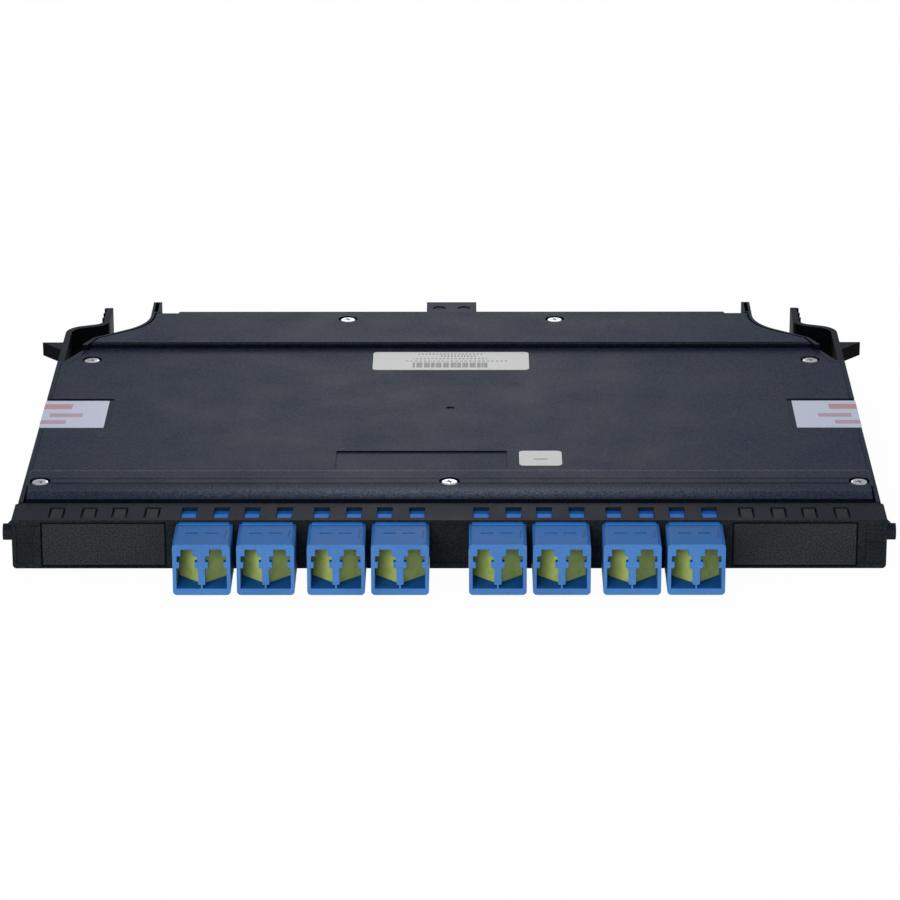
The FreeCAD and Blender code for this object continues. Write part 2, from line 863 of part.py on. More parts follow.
def hollow_lands(body):
    """Both lands are hollow underneath, so that the cover is one even thickness."""
    depth = s.land_top - s.field_top
    under_tongue = level_sketch(body, cover_seat)
    front = level_sketch(body, cover_seat)
    half = half_cover - s.land_rim
    wall_back = s.land_front + s.edge_wall
    rectangle(under_tongue, -half, half, s.bezel_depth, wall_back)
    rectangle(front, -half, half, wall_back, s.front_land_end - s.edge_wall)
    hollow_up(body, under_tongue, aperture_top - cover_seat)
    hollow_up(body, front, depth)
    rear = level_sketch(body, cover_seat)
    front_edge = s.rear_land_start + s.edge_wall
    mid_x = s.corner_mid_x - s.edge_wall * 2
    mid_y = s.corner_mid_y
    second_y = front_edge + s.fit_gap
    closed_outline(rear, inner_outline(front_edge, mid_x, second_y, mid_x - s.fit_gap, mid_y, 2))
    hollow_up(body, rear, depth)


def shape_front_land(body):
    """Groove behind the bezel, a slot beside each corner and the slope down to the front."""
    groove = level_sketch(body, s.land_top)
    rectangle(groove, -half_bezel, half_bezel, s.bezel_depth, s.land_front)
    sink(body, groove, s.land_top - s.tongue_top)
    slots = level_sketch(body, s.land_top)
    inner = half_cover - s.corner_slot_width
    for side in POSITION_SIDES:
        ends = [side * inner, side * half_bezel]
        low, high = ends if side > 0 else ends[::-1]
        rectangle(slots, low, high, s.bezel_depth, s.corner_slot_end)
    sink(body, slots, s.land_top - cover_seat)
    slope = side_sketch(body, half_bezel)
    closed_outline(slope, [
        (s.land_front, s.land_front_top),
        (s.land_slope_bend, s.land_bend_top),
        (s.land_slope_end, s.land_top),
        (s.land_front, s.land_top),
    ])
    pocket(body, slope, s.bezel_width)


def cut_rear_notch(body):
    """Room in the rear rim for the top of the multi-fibre adapter."""
    start = s.rear_edge - s.edge_wall * 3
    sketch = front_sketch(body, start)
    half = s.rear_adapter_width / 2 + s.fit_gap
    rectangle(sketch, -half, half, cover_seat, s.rear_adapter_top + s.fit_gap)
    bore_back(body, sketch, s.edge_wall * 3)


def cut_screw_wells(body):
    for top in (s.land_top, s.field_top):
        wells = level_sketch(body, top)
        holes = level_sketch(body, top)
        for x, y, seat in SCREW_PLACES:
            if seat is top:
                many_sided(wells, x, y, s.screw_well_radius, RING_SIDES)
                many_sided(holes, x, y, pilot_corner, BORE_SIDES)
        sink(body, wells, s.screw_well_depth)
        sink(body, holes, s.cover_thickness + s.fit_gap)


def cut_field_details(body):
    recess = level_sketch(body, s.field_top)
    rectangle(recess, -s.recess_left, s.recess_right, s.recess_front, s.recess_back)
    sink(body, recess, s.recess_depth)
    mark = level_sketch(body, s.field_top)
    many_sided(mark, as_size(0), s.gate_mark_back, s.gate_mark_radius, MARK_SIDES)
    sink(body, mark, s.gate_mark_depth)


def make_cover():
    body = new_body("top_cover")
    sketch = level_sketch(body, cover_seat)
    closed_outline(sketch, cover_outline(as_size(0)))
    raise_from(body, sketch, s.land_top - cover_seat)
    field = level_sketch(body, s.land_top)
    rectangle(field, -half_bezel, half_bezel, s.front_land_end, s.rear_land_start)
    sink(body, field, s.land_top - s.field_top)

    def on_land_rim(edge):
        box = edge.BoundBox
        behind = box.YMax > s.bezel_depth.number + s.fit_gap.number
        return behind and is_near(box.ZMin, s.land_top.number)

    round_edges(body, s.land_edge_round, on_land_rim, kind="PartDesign::Chamfer")
    shape_front_land(body)
    hollow_lands(body)
    cut_rear_notch(body)
    cut_screw_wells(body)
    cut_field_details(body)
    cut_seal_pockets(body, half_bezel)
    return body


def primitive(kind, label, **sizes):
    """A Part primitive with its sizes and place tied to the sheet."""
    piece = doc.addObject(kind, label)
    for name, size in sizes.items():
        if name in ("x", "y", "z"):
            bind(piece, f"Placement.Base.{name}", size)
        else:
            bind(piece, name, size)
    return piece


def one_screw(x, y, top):
    """Pan head with a cross recess on a plain shank that stands for the thread."""
    head_bottom = top - s.screw_well_depth
    shank = primitive(
        "Part::Prism", "Shank", Circumradius=s.screw_shank_radius, Height=s.screw_length,
        x=x, y=y, z=head_bottom - s.screw_length,
    )
    shank.Polygon = BORE_SIDES
    head = primitive(
        "Part::Prism", "Head", Circumradius=s.screw_head_radius, Height=s.screw_head_height,
        x=x, y=y, z=head_bottom,
    )
    head.Polygon = MARK_SIDES
    solid = doc.addObject("Part::Fuse", "Screw")
    solid.Base = shank
    solid.Tool = head
    slot_level = head_bottom + s.screw_head_height - s.driver_depth
    for reach_x, reach_y in ((s.driver_reach, s.driver_slot / 2), (s.driver_slot / 2, s.driver_reach)):
        slot = primitive(
            "Part::Box", "Driver", Length=reach_x * 2, Width=reach_y * 2, Height=s.driver_depth * 2,
            x=x - reach_x, y=y - reach_y, z=slot_level,
        )
        cut = doc.addObject("Part::Cut", "Screw")
        cut.Base = solid
        cut.Tool = slot
        solid = cut
    return solid


def gather(label, pieces):
    """Separate solids that share one node."""
    group = doc.addObject("Part::Compound", label)
    group.Label = label
    group.Links = pieces
    place(group)
    return group


def make_screws():
    return gather("cover_screws", [one_screw(x, y, top) for x, y, top in SCREW_PLACES])


# ---------------------------------------------------------------------------
# Paper labels


def make_seal(label, side):
    """A seal that lies in its pocket and folds down over the side wall."""
    body = new_body(label)
    sketch = front_sketch(body, s.seal_front)
    inner = side * s.seal_inner_x
    wall = side * half_tray
    skin = side * (half_tray + s.label_thickness)
    foot = seal_pocket_floor - s.seal_drop
    closed_outline(sketch, [
        (inner, seal_pocket_floor),
        (wall, seal_pocket_floor),
        (wall, foot),
        (skin, foot),
        (skin, seal_pocket_floor + s.label_thickness),
        (inner, seal_pocket_floor + s.label_thickness),
    ])
    push_back(body, sketch, s.seal_back - s.seal_front)
    return body


def make_flat_label(label, middle_x, middle_y, width, depth):
    """A small sheet with rounded corners on the sunk field of the cover."""
    body = new_body(label)
    sketch = level_sketch(body, s.field_top)
    x, y = width / 2, depth / 2
    rectangle(sketch, middle_x - x, middle_x + x, middle_y - y, middle_y + y)
    raise_from(body, sketch, s.label_thickness)
    round_edges(body, s.label_corner, lambda edge: runs_along(edge, "z"))
    return body


# ---------------------------------------------------------------------------
# Duplex adapters, their shutters and sleeves

divider_half = s.port_offset - s.port_width / 2
adapter_front = -s.adapter_reach
adapter_middle = (s.adapter_tail - s.adapter_reach) / 2


def port_outline(middle):
    """Mouth of one port: square below, a waist, shoulders and the latch slot on top."""
    def steps(side):
        return [
            (middle + side * s.port_width / 2, s.port_floor),
            (middle + side * s.port_width / 2, s.port_main_top),
            (middle + side * s.port_waist_width / 2, s.port_main_top),
            (middle + side * s.port_waist_width / 2, s.port_waist_top),
            (middle + side * s.port_shoulder_width / 2, s.port_waist_top),
            (middle + side * s.port_shoulder_width / 2, s.port_shoulder_top),
            (middle + side * s.port_slot_width / 2, s.port_shoulder_top),
            (middle + side * s.port_slot_width / 2, s.port_roof),
        ]
    return steps(1) + steps(-1)[::-1]


def draw_adapter_block(body):
    head = front_sketch(body, adapter_front)
    half = s.adapter_width / 2
    inner = half - s.adapter_round
    low = as_size(s.adapter_round)
    high = s.adapter_height - s.adapter_round
    closed_outline(head, [
        (-inner, 0, s.adapter_round),
        (inner, 0),
        (half, low, s.adapter_round),
        (half, high),
        (inner, s.adapter_height, s.adapter_round),
        (-inner, s.adapter_height),
        (-half, high, s.adapter_round),
        (-half, low),
    ])
    push_back(body, head, s.adapter_reach - s.fit_gap)
    neck = front_sketch(body, -s.fit_gap)
    rectangle(neck, -s.neck_width / 2, s.neck_width / 2, 0, neck_top)
    push_back(body, neck, s.adapter_tail + s.fit_gap)


def hollow_ports(body):
    mouths = front_sketch(body, adapter_front)
    chambers = front_sketch(body, adapter_front + s.front_frame)
    feet = front_sketch(body, adapter_front)
    rear = front_sketch(body, s.adapter_tail)
    for side in POSITION_SIDES:
        middle = side * s.port_offset
        closed_outline(mouths, port_outline(middle))
        ends = [side * (divider_half - s.shutter_recess), middle + side * s.port_width / 2]
        low, high = ends if side > 0 else ends[::-1]
        rectangle(chambers, low, high, s.port_floor, s.port_roof)
        ends = [side * s.web_width / 2, side * divider_half]
        low, high = ends if side > 0 else ends[::-1]
        rectangle(feet, low, high, s.port_floor, s.port_floor + s.web_height)
        half = s.port_width / 2
        rectangle(rear, middle - half, middle + half, s.port_floor, s.port_shoulder_top)
    half_length = (s.adapter_reach + s.adapter_tail) / 2
    bore_back(body, mouths, s.front_frame)
    bore_back(body, chambers, half_length - s.mid_wall / 2 - s.front_frame)
    bore_back(body, feet, s.front_frame)
    pocket(body, rear, half_length - s.mid_wall / 2, backwards=True)


def add_sleeve_holders(body):
    start = adapter_middle - s.sleeve_holder_half
    tubes = front_sketch(body, start)
    bores = front_sketch(body, start)
    for side in POSITION_SIDES:
        many_sided(tubes, side * s.port_offset, s.port_axis, s.sleeve_holder_radius, BORE_SIDES)
        many_sided(bores, side * s.port_offset, s.port_axis, sleeve_bore_corner, BORE_SIDES)
    push_back(body, tubes, s.sleeve_holder_half * 2)
    bore_back(body, bores, s.sleeve_holder_half * 2)


def add_shutter_sockets(body):
    floor = level_sketch(body, s.port_floor)
    roof = level_sketch(body, s.port_roof)
    for side in POSITION_SIDES:
        x = side * (divider_half - s.shutter_hinge_in)
        y = adapter_front + s.shutter_hinge_deep
        play = s.shutter_pin_radius + s.shutter_pin_gap
        for sketch in (floor, roof):
            rectangle(sketch, x - play, x + play, y - play, y + play)
    sink(body, floor, s.shutter_pin_length + s.fit_gap)
    hollow_up(body, roof, s.shutter_pin_length + s.fit_gap)


def add_adapter_tabs(body):
    """Latch tabs that stand up into the windows of the bezel."""
    sketch = level_sketch(body, neck_top)
    half = s.adapter_tab_width / 2
    front = s.window_front + s.fit_gap
    for side in POSITION_SIDES:
        middle = side * s.window_offset
        rectangle(sketch, middle - half, middle + half, front, s.adapter_tab_back)
    raise_from(body, sketch, s.adapter_tab_rise)


def make_adapter(x):
    """The first adapter; the others are copies of it."""
    body = new_body("lc_adapter_1", x)
    draw_adapter_block(body)
    hollow_ports(body)
    add_sleeve_holders(body)
    add_shutter_sockets(body)
    add_adapter_tabs(body)
    return body


def make_shutter(number, x, side):
    """A sprung flap drawn flat and then turned to its slant about its hinge pin."""
    name = "left" if side < 0 else "right"
    body = doc.addObject("PartDesign::Body", f"shutter_{number}_{name}")
    body.Label = f"shutter_{number}_{name}"
    hinge_axis = FreeCAD.Vector(0, 0, side)
    slant = FreeCAD.Rotation(hinge_axis, s.shutter_slant.number)
    body.Placement = FreeCAD.Placement(FreeCAD.Vector(0, 0, 0), slant)
    bind(body, "Placement.Base.x", x + side * (divider_half - s.shutter_hinge_in))
    bind(body, "Placement.Base.y", adapter_front + s.shutter_hinge_deep - s.datum_back)
    bind(body, "Placement.Rotation.Angle", s.shutter_slant)
    low = s.port_floor + s.fit_gap
    rise = s.port_roof - s.port_floor - s.fit_gap * 2
    reach_across = s.port_width + s.shutter_hinge_in - s.shutter_end_gap
    length = reach_across / cosine(s.shutter_slant)
    panel = level_sketch(body, low)
    half = s.shutter_thickness / 2
    closed_outline(panel, [
        (0, -half),
        (side * length, -half),
        (side * length, half),
        (0, half),
        (-half * side, 0),
    ])
    raise_from(body, panel, rise)
    pin = level_sketch(body, low - s.shutter_pin_length)
    many_sided(pin, as_size(0), as_size(0), s.shutter_pin_radius, 6)
    raise_from(body, pin, rise + s.shutter_pin_length * 2)
    return body


def plain_feature(label, shape):
    """A piece whose shape comes from Part's own functions, carried by its Placement."""
    piece = doc.addObject("Part::Feature", label)
    piece.Label = label
    piece.Shape = shape
    place(piece)
    return piece


def ring_of_points(centre, y, z, radius, sides):
    """Corners of a closed polygon across the Y axis; the first one is repeated at the end."""
    turns = [2 * math.pi * (index + 0.5) / sides for index in range(sides + 1)]
    return [
        FreeCAD.Vector(centre + radius * math.cos(turn), y, z + radius * math.sin(turn))
        for turn in turns
    ]


def flat_sided(front, rear):
    """Solid with flat sides between two rings of points."""
    faces = [Part.Face(Part.makePolygon(ring)) for ring in (front, rear)]
    for index in range(len(front) - 1):
        loop = [front[index], front[index + 1], rear[index + 1], rear[index], front[index]]
        faces.append(Part.Face(Part.makePolygon(loop)))
    return Part.Solid(Part.Shell(faces))


def one_plug(x):
    """Inner plug seated in the rear of an adapter: ferrule, square body and tapered boot."""
    axis_z = s.port_axis.number
    half = s.plug_side.number / 2
    nose = (adapter_middle + s.sleeve_holder_half + s.fit_gap).number
    tip = (adapter_middle + s.fit_gap).number
    body_end = nose + s.plug_length.number
    boot_end = body_end + s.boot_length.number
    centre = x.number
    body = Part.makeBox(
        half * 2, s.plug_length.number, half * 2, FreeCAD.Vector(centre - half, nose, axis_z - half),
    )
    ferrule = flat_sided(
        ring_of_points(centre, tip, axis_z, s.ferrule_radius.number, BORE_SIDES),
        ring_of_points(centre, nose, axis_z, s.ferrule_radius.number, BORE_SIDES),
    )
    boot = flat_sided(
        ring_of_points(centre, body_end, axis_z, s.boot_front_radius.number, BORE_SIDES),
        ring_of_points(centre, boot_end, axis_z, s.boot_back_radius.number, BORE_SIDES),
    )
    return body.fuse([ferrule, boot])


def make_plugs(number, x):
    plugs = [one_plug(x + side * s.port_offset) for side in POSITION_SIDES]
    return plain_feature(f"inner_plugs_{number}", Part.makeCompound(plugs))


# ---------------------------------------------------------------------------
# Blank plates


def make_blank(label, pair):
    """A plate with a hollow box behind it and four tabs that fill the windows above."""
    middle = (position_x(pair, -1) + position_x(pair, 1)) / 2
    body = new_body(label, middle)
    plate = front_sketch(body, s.fit_gap)
    half = s.blank_width / 2
    rectangle(plate, -half, half, s.blank_bottom, s.blank_top)
    push_back(body, plate, s.blank_plate)
    box = front_sketch(body, s.fit_gap)
    half = s.blank_box_width / 2
    low = aperture_bottom + s.fit_gap
    rectangle(box, -half, half, low, neck_top)
    push_back(body, box, s.blank_box_depth)
    hollow = front_sketch(body, s.fit_gap + s.blank_plate)
    inner = half - s.blank_box_wall
    rectangle(hollow, -inner, inner, low + s.blank_box_wall, neck_top - s.blank_box_wall)
    bore_back(body, hollow, s.blank_box_depth)
    tabs = level_sketch(body, neck_top)
    reach = s.blank_tab_width / 2
    slit = (s.window_width - s.blank_tab_width) / 2
    for place_side in POSITION_SIDES:
        for window_side in POSITION_SIDES:
            x = place_side * s.position_pitch / 2 + window_side * s.window_offset
            back = s.window_back - slit * 2
            rectangle(tabs, x - reach, x + reach, s.window_front + s.fit_gap, back)
    raise_from(body, tabs, s.bezel_top - neck_top - s.fit_gap / 2)
    return body


# ---------------------------------------------------------------------------
# Rear adapter and the harness inside


def make_rear_adapter():
    body = new_body("rear_adapter")
    half = s.rear_adapter_width / 2
    shell = front_sketch(body, s.rear_adapter_front)
    rectangle(shell, -half, half, s.rear_adapter_bottom, s.rear_adapter_top)
    push_back(body, shell, s.rear_adapter_end - s.rear_adapter_front)
    flange_back = s.rear_edge - s.edge_wall - s.rear_step - s.fit_gap
    flange = front_sketch(body, flange_back - s.rear_flange_thickness)
    half = s.rear_flange_width / 2
    rectangle(flange, -half, half, s.tray_floor, s.rear_adapter_top)
    push_back(body, flange, s.rear_flange_thickness)
    half = s.rear_port_width / 2
    low = rear_adapter_middle - s.rear_port_height / 2
    high = rear_adapter_middle + s.rear_port_height / 2
    key = s.rear_key_width / 2
    for start, inwards in ((s.rear_adapter_end, True), (s.rear_adapter_front, False)):
        port = front_sketch(body, start)
        closed_outline(port, [
            (-half, low),
            (half, low),
            (half, high),
            (key, high),
            (key, high + s.rear_key_height),
            (-key, high + s.rear_key_height),
            (-key, high),
            (-half, high),
        ])
        pocket(body, port, s.rear_port_depth, backwards=inwards)
    window = front_sketch(body, s.rear_adapter_front)
    across, up = s.ferrule_width / 2, s.ferrule_height / 2
    rectangle(window, -across, across, rear_adapter_middle - up, rear_adapter_middle + up)
    bore_back(body, window, s.rear_adapter_end - s.rear_adapter_front)
    marks = level_sketch(body, s.rear_adapter_top)
    for side in POSITION_SIDES:
        x = side * s.rear_mark_offset
        many_sided(marks, x, s.rear_mark_back, s.rear_mark_radius, MARK_SIDES)
    sink(body, marks, s.rear_mark_depth)
    return body


def make_inner_plug():
    """Multi-fibre plug seated in the front of the rear adapter."""
    end = s.rear_adapter_front + s.rear_port_depth - s.fit_gap
    width, height = s.inner_plug_width, s.inner_plug_height
    body = primitive(
        "Part::Box", "Plug_body", Length=width, Width=end - s.inner_plug_front, Height=height,
        x=-width / 2, y=s.inner_plug_front, z=rear_adapter_middle - height / 2,
    )
    across, up = s.ferrule_width - s.fit_gap * 2, s.ferrule_height - s.fit_gap * 2
    nose = primitive(
        "Part::Box", "Plug_ferrule", Length=across, Width=s.mid_wall, Height=up,
        x=-across / 2, y=end, z=rear_adapter_middle - up / 2,
    )
    plug = doc.addObject("Part::Fuse", "inner_multi_plug")
    plug.Label = "inner_multi_plug"
    plug.Base = body
    plug.Tool = nose
    place(plug)
    return plug


def make_fanout():
    """Block that splits the ribbon into single fibres."""
    body = new_body("fanout_block")
    sketch = level_sketch(body, s.tray_floor)
    half = s.fan_width / 2
    rectangle(sketch, -half, half, s.fan_front, s.fan_back)
    raise_from(body, sketch, s.fan_height)
    return body


def bent_path(points, radius):
    """Straight runs whose corners are cut off where an arc of the radius would start."""
    corners = [points[0]]
    for before, corner, after in zip(points, points[1:], points[2:]):
        arriving = (corner - before).normalize()
        leaving = (after - corner).normalize()
        turn = arriving.getAngle(leaving)
        if turn < 1e-6:
            continue
        back_off = radius * math.tan(turn / 2)
        corners += [corner - arriving * back_off, corner + leaving * back_off]
    corners.append(points[-1])
    return Part.makePolygon(corners)


def one_fibre(index, port_x):
    """A fibre from the fan-out block to the boot of one inner plug, index counted outwards."""
    side = 1 if port_x.number > 0 else -1
    outermost = len(adapter_places) - 1
    start_x = side * (index + 0.5) * s.fibre_spacing.number
    clear = s.fibre_bend_radius.number * math.tan(math.radians(DIAGONAL / 2))
    stagger = (outermost - index) * s.fibre_stagger.number
    first_bend = s.fan_front.number - s.fibre_lead.number - clear - stagger
    run = abs(port_x.number - start_x)
    second_bend = first_bend - run
    height = s.port_axis.number
    boot_end = (adapter_middle + s.sleeve_holder_half + s.fit_gap + s.plug_length + s.boot_length).number
    points = [
        FreeCAD.Vector(start_x, s.fan_front.number, height),
        FreeCAD.Vector(start_x, first_bend, height),
        FreeCAD.Vector(port_x.number, second_bend, height),
        FreeCAD.Vector(port_x.number, boot_end, height),
    ]
    path = bent_path(points, s.fibre_bend_radius.number)
    half = s.fibre_side.number / 2
    corners = [
        points[0] + FreeCAD.Vector(across * half, 0, up * half)
        for across, up in ((-1, -1), (1, -1), (1, 1), (-1, 1), (-1, -1))
    ]
    return path.makePipeShell([Part.makePolygon(corners)], True, True)


def make_harness():
    """All sixteen fibres, and the ribbon between the fan-out block and the rear plug."""
    ports = [x + side * s.port_offset for x in adapter_places for side in POSITION_SIDES]
    right = sorted((x for x in ports if x.number > 0), key=lambda x: x.number)
    left = sorted((x for x in ports if x.number < 0), key=lambda x: -x.number)
    fibres = [one_fibre(index, x) for row in (right, left) for index, x in enumerate(row)]
    width, height = s.ribbon_width.number, s.ribbon_height.number
    low = FreeCAD.Vector(-width / 2, s.fan_back.number, rear_adapter_middle.number - height / 2)
    ribbon = Part.makeBox(width, (s.inner_plug_front - s.fan_back).number, height, low)
    return plain_feature("fibre_harness", Part.makeCompound(fibres + [ribbon]))


# ---------------------------------------------------------------------------
# Side latches


def make_latch(label, side):
    """Springy arm that carries the side wall on, with a tooth outside and a finger tab."""
    body = new_body(label)
    thick = s.arm_thickness
    root = s.side_end + s.arm_root_gap
    inner_bend = s.arm_bend_radius - thick
    inner_knee = s.arm_knee_radius + thick
    arm = level_sketch(body, s.arm_bottom)
    closed_outline(arm, [
        (side * (half_tray - thick), root),
        (side * half_tray, root),
        (side * half_tray, s.arm_bend_start),
        (side * s.arm_bend_x, s.arm_bend_y, side * s.arm_bend_radius),
        (side * s.arm_knee_x, s.arm_knee_y),
        (side * s.tab_x, s.tab_start, -side * s.arm_knee_radius),
        (side * s.tab_x, s.tab_end),
        (side * (s.tab_x - thick), s.tab_end),
        (side * (s.tab_x - thick), s.tab_start),
        (side * (s.arm_knee_x - thick / 2), s.arm_knee_y - thick, side * inner_knee),
        (side * (s.arm_bend_x - thick / 2), s.arm_bend_y - thick),
        (side * (half_tray - thick), s.arm_bend_start, -side * inner_bend),
    ])
    raise_from(body, arm, s.arm_top - s.arm_bottom)
    tooth = level_sketch(body, s.tooth_bottom)
    root_x = half_tray - s.fit_gap
    closed_outline(tooth, [
        (side * root_x, s.tooth_front),
        (side * s.tooth_tip, s.tooth_back),
        (side * root_x, s.tooth_back),
    ])
    raise_from(body, tooth, s.tooth_top - s.tooth_bottom)
    ribs = level_sketch(body, s.arm_bottom)
    for count in range(3):
        y = s.tab_end - s.tab_rib_radius - count * s.tab_rib_spacing
        many_sided(ribs, side * s.tab_x, y, s.tab_rib_radius, RIB_SIDES)
    raise_from(body, ribs, s.arm_top - s.arm_bottom)
    return body


# ---------------------------------------------------------------------------
# Make every sub-part, check it and write it


def make_parts():
    parts = [make_base(), make_cover(), make_screws()]
    parts.append(make_seal("seal_label_left", -1))
    parts.append(make_seal("seal_label_right", 1))
    label_middle = (s.part_label_front + s.part_label_back) / 2
    label_depth = s.part_label_back - s.part_label_front
    parts.append(make_flat_label("part_label", as_size(0), label_middle, s.part_label_width, label_depth))
    side = s.square_label_side
    parts.append(make_flat_label("square_label", s.square_label_x, s.square_label_y, side, side))
    parts.append(make_blank("blank_left", -3))
    parts.append(make_blank("blank_right", 3))
    master = make_adapter(adapter_places[0])
    parts.append(master)
    for number, x in enumerate(adapter_places, start=1):
        if number > 1:
            parts.append(clone_body(f"lc_adapter_{number}", master, x))
        parts.append(make_plugs(number, x))
        for side in POSITION_SIDES:
            parts.append(make_shutter(number, x, side))
    parts.append(make_rear_adapter())
    parts.append(make_inner_plug())
    parts.append(make_fanout())
    parts.append(make_harness())
    parts.append(make_latch("side_latch_left", -1))
    parts.append(make_latch("side_latch_right", 1))
    return parts


def check_parts(parts):
    """Stop before writing anything if a feature failed or a solid is not sound."""
    for feature in doc.Objects:
        for word in ("Invalid", "Error"):
            if word in feature.State:
                raise RuntimeError(f"{feature.Label} is {word}")
    for part in parts:
        if part.Shape.isNull() or not part.Shape.isValid():
            raise RuntimeError(f"{part.Label} has no sound shape")


def write_parts(parts):
    os.makedirs("parts", exist_ok=True)
    for part in parts:
        part.Shape.exportStep(os.path.join("parts", f"{part.Label}.step"))
        box = part.Shape.BoundBox
        print(f"{part.Label}: {len(part.Shape.Solids)} solid(s), {part.Shape.Volume:.1f} mm3, "
              f"x {box.XMin:.2f} to {box.XMax:.2f}, y {box.YMin:.2f} to {box.YMax:.2f}, "
              f"z {box.ZMin:.2f} to {box.ZMax:.2f}")


def merge_flat_faces(parts):
    """Only the last feature of each body joins the faces that its steps left in one plane."""
    for part in parts:
        if part.TypeId == "PartDesign::Body" and "Refine" in part.Tip.PropertiesList:
            part.Tip.Refine = True


all_parts = make_parts()
merge_flat_faces(all_parts)
doc.recompute()
check_parts(all_parts)
write_parts(all_parts)
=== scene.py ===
"""Fibre cassette: finishes, small fittings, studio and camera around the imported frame."""
import math

import bpy
from mathutils import Matrix, Vector


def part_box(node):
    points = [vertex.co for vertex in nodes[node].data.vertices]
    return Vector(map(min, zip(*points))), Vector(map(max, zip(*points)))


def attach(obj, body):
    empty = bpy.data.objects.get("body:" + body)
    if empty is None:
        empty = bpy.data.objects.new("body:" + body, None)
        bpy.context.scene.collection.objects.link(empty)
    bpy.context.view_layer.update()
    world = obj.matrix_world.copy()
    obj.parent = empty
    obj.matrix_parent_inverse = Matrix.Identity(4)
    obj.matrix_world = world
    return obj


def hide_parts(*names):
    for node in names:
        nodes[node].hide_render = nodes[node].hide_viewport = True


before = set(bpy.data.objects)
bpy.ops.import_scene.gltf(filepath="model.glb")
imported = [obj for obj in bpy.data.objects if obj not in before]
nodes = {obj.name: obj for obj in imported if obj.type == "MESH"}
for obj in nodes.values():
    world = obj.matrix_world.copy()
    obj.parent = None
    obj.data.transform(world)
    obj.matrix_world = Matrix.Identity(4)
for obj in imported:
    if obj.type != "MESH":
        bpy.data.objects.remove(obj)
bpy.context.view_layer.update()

MM = 0.001
CASSETTE = "cassette"
ADAPTER_NUMBERS = range(1, 9)
SIDES = ("left", "right")

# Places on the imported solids
BEZEL_FRONT = -75.0 * MM
BEZEL_BACK = -63.5 * MM
ADAPTER_HEAD_BACK = -74.8 * MM
LAND_TOP = 14.2 * MM
FIELD_TOP = 12.7 * MM
HEAD_TOP = 11.87 * MM

# Heights on a cover screw: from the cover down to its seat, from seat to top, and down into its cross
SCREW_WELL = 0.7 * MM
SCREW_HEAD_HEIGHT = 0.62 * MM
SCREW_RECESS = 0.4 * MM


# ---------------------------------------------------------------------------
# Camera, studio and floor

CAMERA_PLACE = (0.0043, -0.9588, 0.3507)
CAMERA_LENS_MM = 171.4
CAMERA_SENSOR_MM = 36.0
CAMERA_YAW, CAMERA_PITCH, CAMERA_ROLL = 0.264, 70.0, -0.115

# Area lamps: name, place and aim in metres, width and height in metres, watts
LAMPS = [
    ("overhead_softbox", (0.0, 0.1, 1.1), (0.0, 0.0, 0.0), (1.2, 0.9), 1.5),
    ("front_softbox", (-0.35, -1.2, 0.55), (0.0, -0.05, 0.0), (0.8, 0.6), 11.0),
    ("side_softbox", (1.1, -0.3, 0.6), (0.0, 0.0, 0.0), (0.6, 0.6), 1.5),
    ("rear_softbox", (-0.01, 0.42, 0.19), (-0.01, -0.02, 0.014), (0.18, 0.14), 0.35),
]

WHITE_STRENGTH = 1.0
AMBIENT_TONE = (0.96, 0.98, 1.0)
AMBIENT_STRENGTH = 0.45
FLOOR_SIZE = 6.0
FLOOR_DROP = 0.6 * MM
FLOOR_TONE = (0.9, 0.9, 0.9)
FLOOR_GLOW = 0.97


def set_camera():
    """The one camera, set by place and by yaw, pitch and roll in degrees."""
    data = bpy.data.cameras.new("camera")
    data.lens = CAMERA_LENS_MM
    data.sensor_width = CAMERA_SENSOR_MM
    camera = bpy.data.objects.new("camera", data)
    bpy.context.scene.collection.objects.link(camera)
    camera.location = CAMERA_PLACE
    yaw = Matrix.Rotation(math.radians(CAMERA_YAW), 4, "Z")
    pitch = Matrix.Rotation(math.radians(CAMERA_PITCH), 4, "X")
    roll = Matrix.Rotation(math.radians(CAMERA_ROLL), 4, "Z")
    camera.rotation_euler = (yaw @ pitch @ roll).to_euler()
    bpy.context.scene.camera = camera


def add_lamp(name, place, aim, size, watts):
    """Oblong area lamp turned to its aim."""
    data = bpy.data.lights.new(name, "AREA")
    data.shape = "RECTANGLE"
    data.size, data.size_y = size
    data.energy = watts
    lamp = bpy.data.objects.new(name, data)
    bpy.context.scene.collection.objects.link(lamp)
    lamp.location = place
    lamp.rotation_euler = (Vector(aim) - Vector(place)).to_track_quat("-Z", "Y").to_euler()


def white_seen_directly(tree, seen, lit):
    """Camera, glossy and transmitted rays meet the seen shader; all other rays the lit one."""
    path = tree.nodes.new("ShaderNodeLightPath")
    some = tree.nodes.new("ShaderNodeMath")
    some.operation = "MAXIMUM"
    every = tree.nodes.new("ShaderNodeMath")
    every.operation = "MAXIMUM"
    mix = tree.nodes.new("ShaderNodeMixShader")
    tree.links.new(path.outputs["Is Camera Ray"], some.inputs[0])
    tree.links.new(path.outputs["Is Glossy Ray"], some.inputs[1])
    tree.links.new(some.outputs[0], every.inputs[0])
    tree.links.new(path.outputs["Is Transmission Ray"], every.inputs[1])
    tree.links.new(every.outputs[0], mix.inputs[0])
    tree.links.new(lit.outputs[0], mix.inputs[1])
    tree.links.new(seen.outputs[0], mix.inputs[2])
    return mix


